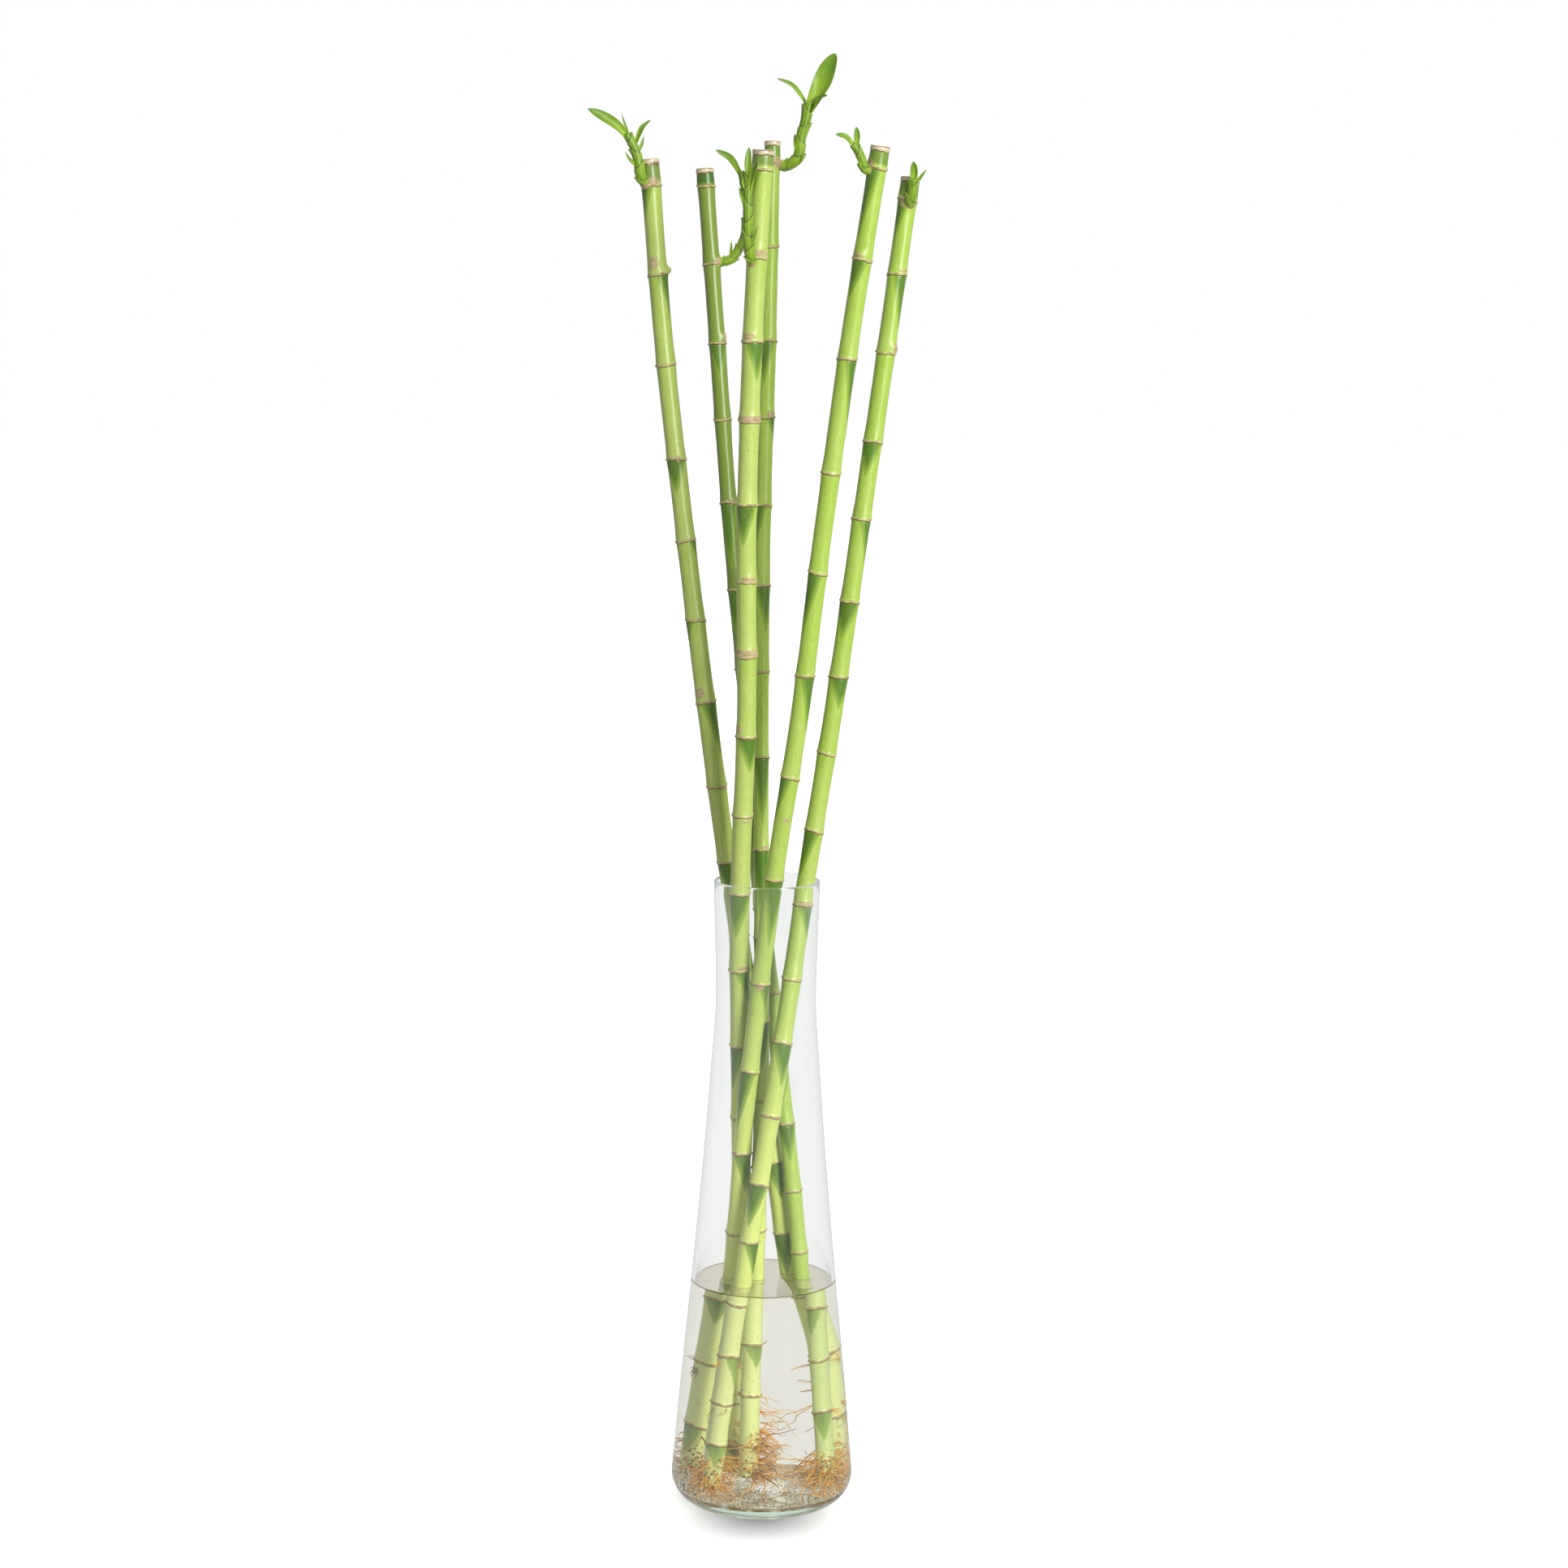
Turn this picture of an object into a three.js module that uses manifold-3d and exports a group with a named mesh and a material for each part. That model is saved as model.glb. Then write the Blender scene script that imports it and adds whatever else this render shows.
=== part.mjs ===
// Lucky bamboo: six cut canes with roots and leafy shoots, standing in water in a clear glass vase.
// Millimetres, +Z up. The origin is the centre of the vase's foot, on the surface that it stands on.

import * as THREE from "three";
import { mergeVertices } from "three/addons/utils/BufferGeometryUtils.js";
import Module from "manifold-3d";

const wasm = await Module();
wasm.setup();

// Vase
const VASE_HEIGHT = 400;
const WALL = 2.4;
const FLOOR = 9;
const FOOT_RADIUS = 38.5;
const HEEL_ROUND = 19;
const INNER_HEEL_ROUND = 11;
const VASE_SIDES = 36;
const ROUND_STEPS = 4;
const SIDE_STEPS = 9;
// The outside above the heel, radius and height, from the widest ring over the neck to the mouth
const OUTSIDE = [
  [FOOT_RADIUS + HEEL_ROUND, HEEL_ROUND],
  [53.4, 67],
  [45.2, 152],
  [37.7, 236],
  [34.2, 283],
  [31.6, 320],
  [31.9, 350],
  [33.3, VASE_HEIGHT - WALL / 2],
];

// Water
const WATER_LEVEL = 144;
const GAP = 0.3;

// Canes
const CANE_SIDES = 8;
const RING_RELIEF = 0.55;
const RING_HALF = 1.8;
const CUT_BEVEL = 0.7;

// Roots: radius at the cane and at the tip, reach from the cane's axis, and the stretch above the cut
// that bears them. Every third one comes down to the floor.
const ROOTS_PER_CANE = 12;
const ROOT_SIDES = 3;
const ROOT_STEPS = 3;
const ROOT_THICK = 0.7;
const ROOT_THIN = 0.45;
const ROOT_REACH = 9.3;
const ROOT_REACH_SPREAD = 1.6;
const ROOT_REACH_WAVES = 5;
const ROOT_ZONE = [3, 22];
const ROOT_SAG = 0.15;
const ROOT_LIFT = 0.5;
const BELL_RADIUS = 13.2;
const BELL_SHOULDER = 8;

// Leaves
const BLADE_THICKNESS = 0.8;
const BLADE_STEPS = 5;
const BLADE_CHANNEL = 0.25;
const BLADE_FOOT = 0.18;
const BLADE_DRAWN_OUT = 0.8;
const BLADE_TIP_HALF = 0.35;
const STEM_SIDES = 6;

// Each cane: radius, heights of the two cut ends, heights of the node rings from the top down, and
// its axis as [x, y] at each height of AXIS_HEIGHTS.
const AXIS_HEIGHTS = [15, 85, 144, 270, 400, 510, 620, 735, 850];
const CANES = [
  {
    radius: 6.0, bottom: 16, top: 843,
    rings: [827, 773, 718, 660, 610, 561, 510, 458, 410, 362, 314, 265, 216, 170, 132, 92, 50],
    axis: [
      [30.5, 18.5], [26.3, 17.3], [16.3, 14.9], [-2, 15], [-23.5, 6.4],
      [-39, 6.8], [-53.4, 12.8], [-67, 17.3], [-76.8, 20],
    ],
  },
  {
    radius: 5.2, bottom: 15, top: 839,
    rings: [828, 780, 731, 684, 632, 578, 529, 480, 430, 378, 325, 282, 242, 200, 161, 126, 93, 60, 30],
    axis: [
      [33.2, -6], [28.3, -1.8], [24.3, 1.9], [10.3, 11.7], [-5.6, 24.8],
      [-14.3, 32], [-25.2, 37.6], [-34.5, 43.8], [-43.8, 50.5],
    ],
  },
  {
    radius: 6.1, bottom: 16, top: 846,
    rings: [835, 783, 733, 686, 635, 589, 543, 493, 444, 394, 345, 295, 248, 205, 166, 130, 97, 62, 34],
    axis: [
      [-11.6, 16.8], [-12.5, 16.8], [-13.7, 16.1], [-15.5, 1.5], [-16.4, -17.3],
      [-13.3, -28.2], [-14.1, -35], [-11.3, -42.3], [-5.6, -50.3],
    ],
  },
  {
    radius: 4.8, bottom: 19, top: 855,
    rings: [842, 791, 733, 686, 632, 582, 529, 475, 417, 362, 309, 260, 216, 176, 138, 104, 72, 40],
    axis: [
      [-6.4, -7.5], [-5.6, -3.6], [-4.4, -1.1], [-2.2, 0.9], [-3.6, 9.1],
      [-4.6, 15.4], [-4.4, 19.9], [-2.2, 24.1], [-0.9, 28],
    ],
  },
  {
    radius: 5.7, bottom: 19, top: 849,
    rings: [836, 782, 723, 655, 594, 531, 468, 404, 338, 281, 227, 174, 131, 89, 47],
    axis: [
      [-34, 6.8], [-26.4, 5.6], [-20.3, 3.1], [-10.6, -11.4], [3.9, -24],
      [19.6, -30.1], [32.3, -34.9], [47, -40.1], [63.8, -45.6],
    ],
  },
  {
    radius: 5.8, bottom: 16, top: 833,
    rings: [819, 774, 727, 672, 625, 574, 527, 480, 431, 385, 339, 299, 254, 210, 173, 134, 100, 70, 43],
    axis: [
      [-27.7, -21], [-20.1, -19.1], [-13, -18.3], [6.3, -15.9], [24.4, -2.5],
      [40.8, 1.5], [55.5, 2.5], [70.9, 4.5], [85.8, 7.5],
    ],
  },
];

// Each shoot, in the order of the canes: the stem's route with its radius at both ends, and its leaves
// and sheath tips as [half width, way that the upper face looks, points of the midrib].
const SHOOTS = [
  {
    stem: [[-77, 16, 827], [-81, 12.8, 833], [-84, 12, 847], [-90, 11, 858]],
    thick: 3.2, thin: 2.2,
    leaves: [
      [3.2, [0.1, -1, 0.3], [[-86, 12, 852], [-95, 9.5, 861.8], [-104, 6, 867.6], [-113, 2, 872]]],
      [0.9, [0, -1, 0], [[-88, 12, 855], [-91, 13, 864], [-93, 14, 870]]],
      [2.2, [-0.5, -0.6, 0.6], [[-85, 12.5, 849], [-80.5, 18, 861], [-76, 24, 867]]],
      [1.2, [0, -1, 0.2], [[-83.5, 12.5, 846], [-80.5, 15, 852], [-79.5, 16, 857]]],
      [1.2, [0, -1, 0.4], [[-83, 12, 838], [-87.5, 9.5, 842], [-90.5, 8, 847]]],
    ],
  },
  {
    stem: [[-36, 46, 781], [-27, 46.5, 783], [-19.5, 48.5, 793], [-16.5, 51, 815], [-20.5, 52, 838]],
    thick: 2.6, thin: 1.9,
    leaves: [
      [2.3, [0.3, -0.8, 0.5], [[-19.5, 52, 833], [-27, 55, 845], [-36, 58, 851]]],
      [1.9, [-0.3, -0.7, 0.6], [[-19, 52, 831], [-12, 58, 842], [-6, 62, 846]]],
      [1.0, [0, -1, 0], [[-26.5, 46, 784], [-26, 44, 790], [-26, 43.5, 795]]],
    ],
  },
  {
    stem: [[-11, -48, 779], [-13.8, -54.5, 787], [-14.5, -57, 803], [-14.6, -57, 830]],
    thick: 2.9, thin: 2.2,
    leaves: [
      [2.0, [0, -1, 0], [[-14.6, -57, 825], [-14.8, -56.6, 837], [-14.2, -56, 847]]],
      [2.2, [-0.4, -0.8, 0.5], [[-14, -58, 820], [-11, -62, 832], [-8.3, -66, 838]]],
      [1.0, [0, -1, 0], [[-15.5, -57.5, 811], [-18.5, -59, 818], [-20.2, -60, 824]]],
      [1.0, [0, -1, 0], [[-15, -57, 820], [-17.5, -58, 826], [-18.8, -58, 831]]],
      [1.0, [0, -1, 0], [[-13.5, -57, 790], [-10.5, -60, 795], [-9, -62, 801]]],
    ],
  },
  {
    stem: [[2, 27, 841], [9, 26, 840.5], [15, 25, 846], [14.6, 25, 857], [19, 25, 866], [21.4, 25, 879]],
    thick: 3.1, thin: 2.5,
    leaves: [
      [5.9, [-0.2, -1, 0.2], [[21.5, 25, 873], [28.2, 24.5, 887], [32.2, 23.5, 897], [37.4, 22, 908]]],
      [1.6, [0.3, -0.7, 0.6], [[20.5, 25.5, 876], [12, 30, 888], [2, 34, 893.5]]],
      [2.4, [-0.2, -0.6, 0.8], [[20.5, 25, 869], [27, 20, 880], [32, 14, 882]]],
      [1.0, [0, -1, 0.2], [[12.5, 25, 841.5], [16.5, 22.5, 842.5], [17.8, 20, 847]]],
      [1.0, [0, -1, 0.2], [[14.5, 24.5, 848], [12.8, 21.5, 853], [12.1, 20, 858]]],
    ],
  },
  {
    stem: [[59, -46, 834], [54.8, -48.5, 835.5], [52, -50.5, 842], [47, -52, 850]],
    thick: 2.7, thin: 2.0,
    leaves: [
      [2.2, [0.2, -0.7, 0.7], [[50, -51, 845], [43, -55, 853], [37, -58, 855]]],
      [1.8, [0, -1, 0], [[49, -51.5, 846], [49.5, -53, 854], [49, -54, 859.5]]],
      [1.0, [0, -1, 0.3], [[53, -50, 836], [51, -52.5, 839], [50, -54, 842]]],
    ],
  },
  {
    stem: [[82.5, 4.5, 815], [83.6, 0.4, 819], [84.7, -1, 826], [84.9, -2.4, 832]],
    thick: 3.1, thin: 2.3,
    leaves: [
      [2.3, [0, -1, 0.2], [[85, -1.2, 827], [85.2, -3.6, 836], [84.7, -6, 842]]],
      [1.2, [-0.4, -0.8, 0.4], [[85, -0.8, 826], [89.5, 0.2, 833], [92.7, 1, 837.5]]],
      [1.3, [0.3, -0.9, 0.3], [[84.4, -1, 823], [82.8, -3, 829], [82.2, -4, 834]]],
    ],
  },
];

const GLASS = new THREE.MeshStandardMaterial({
  color: 0xe4ece8, roughness: 0.03, metalness: 0, transparent: true, opacity: 0.3,
});
const WATER = new THREE.MeshStandardMaterial({
  color: 0xdfe7e4, roughness: 0.02, metalness: 0, transparent: true, opacity: 0.3,
});
const CANE_GREEN = new THREE.MeshStandardMaterial({ color: 0xa9cc57, roughness: 0.38, metalness: 0 });
const LEAF_GREEN = new THREE.MeshStandardMaterial({ color: 0x4d8a2c, roughness: 0.42, metalness: 0 });

// A closed solid from a geometry, with its shared corners merged
function solid(geometry) {
  const bare = geometry.index ? geometry.clone() : geometry;
  bare.deleteAttribute("normal");
  bare.deleteAttribute("uv");
  const merged = mergeVertices(bare, 1e-4);
  return new wasm.Manifold(new wasm.Mesh({
    numProp: 3,
    vertProperties: new Float32Array(merged.attributes.position.array),
    triVerts: new Uint32Array(merged.index.array),
  }));
}

// The geometry of a closed solid
function geometryOf(body) {
  const mesh = body.getMesh();
  const geometry = new THREE.BufferGeometry();
  geometry.setAttribute("position", new THREE.BufferAttribute(new Float32Array(mesh.vertProperties), 3));
  geometry.setIndex(new THREE.BufferAttribute(new Uint32Array(mesh.triVerts), 1));
  geometry.computeVertexNormals();
  return geometry;
}

// Where the back of a round cane or stem looks
const BACK = new THREE.Vector3(0, 1, 0);

// A turned shape from points of radius and height, with its axis along +Z
function turned(profile, sides) {
  const points = profile.map(([radius, height]) => new THREE.Vector2(radius, height));
  return new THREE.LatheGeometry(points, sides).rotateX(Math.PI / 2);
}

// Bends a shape that was made along +Z, from 0 to 1, onto a curve. Its +Y side looks the facing way.
function bend(geometry, curve, facing) {
  const position = geometry.attributes.position;
  const corner = new THREE.Vector3();
  for (let i = 0; i < position.count; i++) {
    corner.fromBufferAttribute(position, i);
    const along = THREE.MathUtils.clamp(corner.z, 0, 1);
    const tangent = curve.getTangent(along);
    const side = new THREE.Vector3().crossVectors(facing, tangent).normalize();
    const up = new THREE.Vector3().crossVectors(tangent, side);
    const place = curve.getPoint(along).addScaledVector(side, corner.x).addScaledVector(up, corner.y);
    position.setXYZ(i, place.x, place.y, place.z);
  }
  return geometry;
}

// The line through the middle of a cane, between two heights. Along runs from 0 to 1.
class CaneAxis extends THREE.Curve {
  constructor(axis, low, high) {
    super();
    this.low = low;
    this.high = high;
    this.places = new THREE.CubicInterpolant(AXIS_HEIGHTS, axis.flat(), 2);
  }

  getPoint(along, target = new THREE.Vector3()) {
    const height = THREE.MathUtils.lerp(this.low, this.high, along);
    const [x, y] = this.places.evaluate(height);
    return target.set(x, y, height);
  }
}

// A round body along a cane's axis, from points of radius and true height
function alongCane(cane, profile) {
  const low = profile[0][1];
  const high = profile[profile.length - 1][1];
  const scaled = profile.map(([radius, height]) => [radius, (height - low) / (high - low)]);
  return solid(bend(turned(scaled, CANE_SIDES), new CaneAxis(cane.axis, low, high), BACK));
}

// A smooth curve through points
function spline(points) {
  return new THREE.CatmullRomCurve3(points.map((point) => new THREE.Vector3(...point)));
}

// A cane's outline, made larger all round by the given amount
function caneProfile(cane, extra) {
  const profile = [[0, cane.bottom - extra], [cane.radius + extra, cane.bottom - extra]];
  for (const height of [...cane.rings].reverse()) {
    profile.push([cane.radius + extra, height - RING_HALF - extra]);
    profile.push([cane.radius + RING_RELIEF + extra, height]);
    profile.push([cane.radius + extra, height + RING_HALF + extra]);
  }
  profile.push([cane.radius + extra, cane.top - CUT_BEVEL + extra]);
  profile.push([cane.radius - CUT_BEVEL + extra, cane.top + extra], [0, cane.top + extra]);
  return profile;
}

// Roots leave the lowest stretch of a cane on all sides, bend down and end at or near the floor.
function rootTuft(cane, turn) {
  const goldenAngle = Math.PI * (3 - Math.sqrt(5));
  const axis = new CaneAxis(cane.axis, cane.bottom + ROOT_ZONE[0], cane.bottom + ROOT_ZONE[1]);
  const foot = axis.getPoint(0);
  const roots = [];
  for (let i = 0; i < ROOTS_PER_CANE; i++) {
    const share = (i + 0.5) / ROOTS_PER_CANE;
    const angle = goldenAngle * i + turn;
    const way = new THREE.Vector3(Math.cos(angle), Math.sin(angle), 0);
    const reach = ROOT_REACH + ROOT_REACH_SPREAD * Math.sin(ROOT_REACH_WAVES * angle);
    const start = axis.getPoint(share);
    const rise = start.z - FLOOR;
    const elbow = start.clone().addScaledVector(way, reach);
    elbow.z -= rise * ROOT_SAG;
    const tip = foot.clone().addScaledVector(way, reach);
    tip.z = FLOOR + GAP + ROOT_THIN + (i % 3 ? rise * ROOT_LIFT * share : 0);
    const inside = start.addScaledVector(way, cane.radius / 2);
    const route = new THREE.QuadraticBezierCurve3(inside, elbow, tip);
    const strand = new THREE.CylinderGeometry(ROOT_THIN, ROOT_THICK, 1, ROOT_SIDES, ROOT_STEPS)
      .rotateX(Math.PI / 2);
    roots.push(solid(bend(strand.translate(0, 0, 0.5), route, new THREE.Vector3(-way.y, way.x, 0))));
  }
  return wasm.Manifold.union(roots);
}

// A narrow leaf or sheath tip: widest low down, drawn out to a point, with a shallow channel
function blade([halfWidth, face, points]) {
  const slab = new THREE.BoxGeometry(2, BLADE_THICKNESS, 1, 2, 1, BLADE_STEPS).translate(0, 0, 0.5);
  const position = slab.attributes.position;
  for (let i = 0; i < position.count; i++) {
    const along = position.getZ(i);
    const swell = Math.sin(Math.PI * Math.pow(THREE.MathUtils.lerp(BLADE_FOOT, 1, along), BLADE_DRAWN_OUT));
    const half = Math.max(BLADE_TIP_HALF, halfWidth * swell);
    const across = position.getX(i);
    position.setXYZ(i, across * half, position.getY(i) + BLADE_CHANNEL * half * Math.abs(across), along);
  }
  return solid(bend(slab, spline(points), new THREE.Vector3(...face)));
}

// A shoot's stem, thick where it leaves the cane
function stemOf({ stem, thick, thin }) {
  const tapered = new THREE.CylinderGeometry(thin, thick, 1, STEM_SIDES, 2 * (stem.length - 1));
  return solid(bend(tapered.rotateX(Math.PI / 2).translate(0, 0, 0.5), spline(stem), BACK));
}

// Points of a round edge, as radius and height, between two angles in degrees
function roundEdge(centreRadius, centreHeight, round, from, to) {
  const points = [];
  for (let i = 0; i <= ROUND_STEPS; i++) {
    const angle = THREE.MathUtils.degToRad(THREE.MathUtils.lerp(from, to, i / ROUND_STEPS));
    points.push([centreRadius + round * Math.cos(angle), centreHeight + round * Math.sin(angle)]);
  }
  return points;
}

// The outside from the widest ring to the mouth, as a smooth line and as its points
const side = new THREE.SplineCurve(OUTSIDE.map(([radius, height]) => new THREE.Vector2(radius, height)));
const sidePoints = side.getPoints(SIDE_STEPS).map((point) => [point.x, point.y]);

// The inside of the vase at a given height: the outside moved in by the wall
function insideRadius(height) {
  const above = sidePoints.findIndex((point) => point[1] >= height);
  const [radiusA, heightA] = sidePoints[Math.max(above - 1, 0)];
  const [radiusB, heightB] = sidePoints[Math.max(above, 1)];
  return THREE.MathUtils.mapLinear(height, heightA, heightB, radiusA, radiusB) - WALL;
}

// The inside below a height: floor, rounded corner, wall
function insideProfile(shrink, height) {
  const corner = FLOOR + INNER_HEEL_ROUND;
  const centre = insideRadius(corner) - INNER_HEEL_ROUND;
  const wall = sidePoints.filter((point) => point[1] > corner + 1 && point[1] < height - 1);
  return [
    [0, FLOOR + shrink],
    ...roundEdge(centre, corner, INNER_HEEL_ROUND - shrink, -90, 0),
    ...wall.map((point) => [point[0] - WALL - shrink, point[1]]),
    [insideRadius(height) - shrink, height],
  ];
}

// The vase: foot, heel, tapering side, rounded mouth and the inside
function vaseBody() {
  const lip = roundEdge(OUTSIDE.at(-1)[0] - WALL / 2, VASE_HEIGHT - WALL / 2, WALL / 2, 0, 180);
  return turned([
    [0, 0],
    ...roundEdge(FOOT_RADIUS, HEEL_ROUND, HEEL_ROUND, -90, 0).slice(0, -1),
    ...sidePoints.slice(0, -1),
    ...lip,
    ...insideProfile(0, VASE_HEIGHT - WALL / 2).reverse().slice(1),
  ], VASE_SIDES);
}

// The hole that a cane stands in: a bell around the roots, open at the floor, and plain above it
function caneHole(cane) {
  const hole = cane.radius + RING_RELIEF + GAP;
  const bellTop = cane.bottom + ROOT_ZONE[1];
  const rings = [...cane.rings].reverse().filter((height) => height > bellTop + BELL_SHOULDER);
  const aboveWater = rings.findIndex((height) => height > WATER_LEVEL);
  const bends = rings.slice(0, aboveWater + 1);
  return alongCane(cane, [
    [0, 0], [BELL_RADIUS, 0], [BELL_RADIUS, cane.bottom], [BELL_RADIUS, bellTop],
    [hole, bellTop + BELL_SHOULDER], ...bends.map((height) => [hole, height]), [0, bends.at(-1)],
  ]);
}

// The water, with a hole for each cane
function waterBody() {
  let water = solid(turned([...insideProfile(GAP, WATER_LEVEL), [0, WATER_LEVEL]], VASE_SIDES));
  for (const cane of CANES) {
    water = water.subtract(caneHole(cane));
  }
  return geometryOf(water);
}

// A cane with its roots
function caneBody(cane, index) {
  return geometryOf(alongCane(cane, caneProfile(cane, 0)).add(rootTuft(cane, index)));
}

// A shoot, hollowed where it clasps the cane
function shootBody(shoot, cane) {
  const grown = shoot.leaves.reduce((body, leaf) => body.add(blade(leaf)), stemOf(shoot));
  return geometryOf(grown.subtract(alongCane(cane, caneProfile(cane, GAP))));
}

// A named mesh of one sub-part
function piece(name, geometry, material) {
  const mesh = new THREE.Mesh(geometry, material);
  mesh.name = name;
  return mesh;
}

const bamboo = new THREE.Group();
bamboo.name = "lucky_bamboo";
bamboo.add(piece("vase", vaseBody(), GLASS));
bamboo.add(piece("water", waterBody(), WATER));
CANES.forEach((cane, index) => {
  bamboo.add(piece(`cane_${index + 1}`, caneBody(cane, index), CANE_GREEN));
  bamboo.add(piece(`shoot_${index + 1}`, shootBody(SHOOTS[index], cane), LEAF_GREEN));
});

export default bamboo;
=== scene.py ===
"""Lucky bamboo in a clear glass vase: the finish of every piece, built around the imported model."""

import math
import random

import bmesh
import bpy
import numpy as np
from bpy.props import FloatProperty, FloatVectorProperty, IntProperty, PointerProperty
from mathutils import Matrix, Vector


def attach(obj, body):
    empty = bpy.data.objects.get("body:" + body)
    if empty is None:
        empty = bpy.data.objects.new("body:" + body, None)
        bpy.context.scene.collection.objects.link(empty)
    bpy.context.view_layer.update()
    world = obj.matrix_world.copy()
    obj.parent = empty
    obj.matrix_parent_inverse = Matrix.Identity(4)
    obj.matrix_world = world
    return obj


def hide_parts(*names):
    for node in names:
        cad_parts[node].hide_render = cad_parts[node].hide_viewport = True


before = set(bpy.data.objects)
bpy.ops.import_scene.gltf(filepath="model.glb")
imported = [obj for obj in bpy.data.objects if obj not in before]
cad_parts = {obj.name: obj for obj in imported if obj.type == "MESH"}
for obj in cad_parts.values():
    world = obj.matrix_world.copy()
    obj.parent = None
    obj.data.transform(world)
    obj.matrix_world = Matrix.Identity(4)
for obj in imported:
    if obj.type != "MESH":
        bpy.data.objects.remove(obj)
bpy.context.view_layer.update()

bl_info = {
    "name": "Lucky Bamboo Vase",
    "version": (1, 0, 0),
    "blender": (4, 5, 0),
    "location": "View3D > Sidebar > Bamboo",
    "description": "Six lucky bamboo canes with roots and shoots, standing in a glass vase of water",
    "category": "Add Mesh",
}

MM = 0.001

# The vase, in millimetres. The last table is radius and height of its outside, from the widest ring to
# the mouth.
WALL = 2.4
FLOOR = 9
FOOT_RADIUS = 38.5
HEEL_ROUND = 19
INNER_HEEL_ROUND = 11
INNER_CORNER = FLOOR + INNER_HEEL_ROUND
OUTSIDE = [
    (57.5, 19), (53.4, 67), (45.2, 152), (37.7, 236), (34.2, 283), (31.6, 320), (31.9, 350), (33.3, 398.8),
]
WATER_LEVEL = 144

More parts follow.
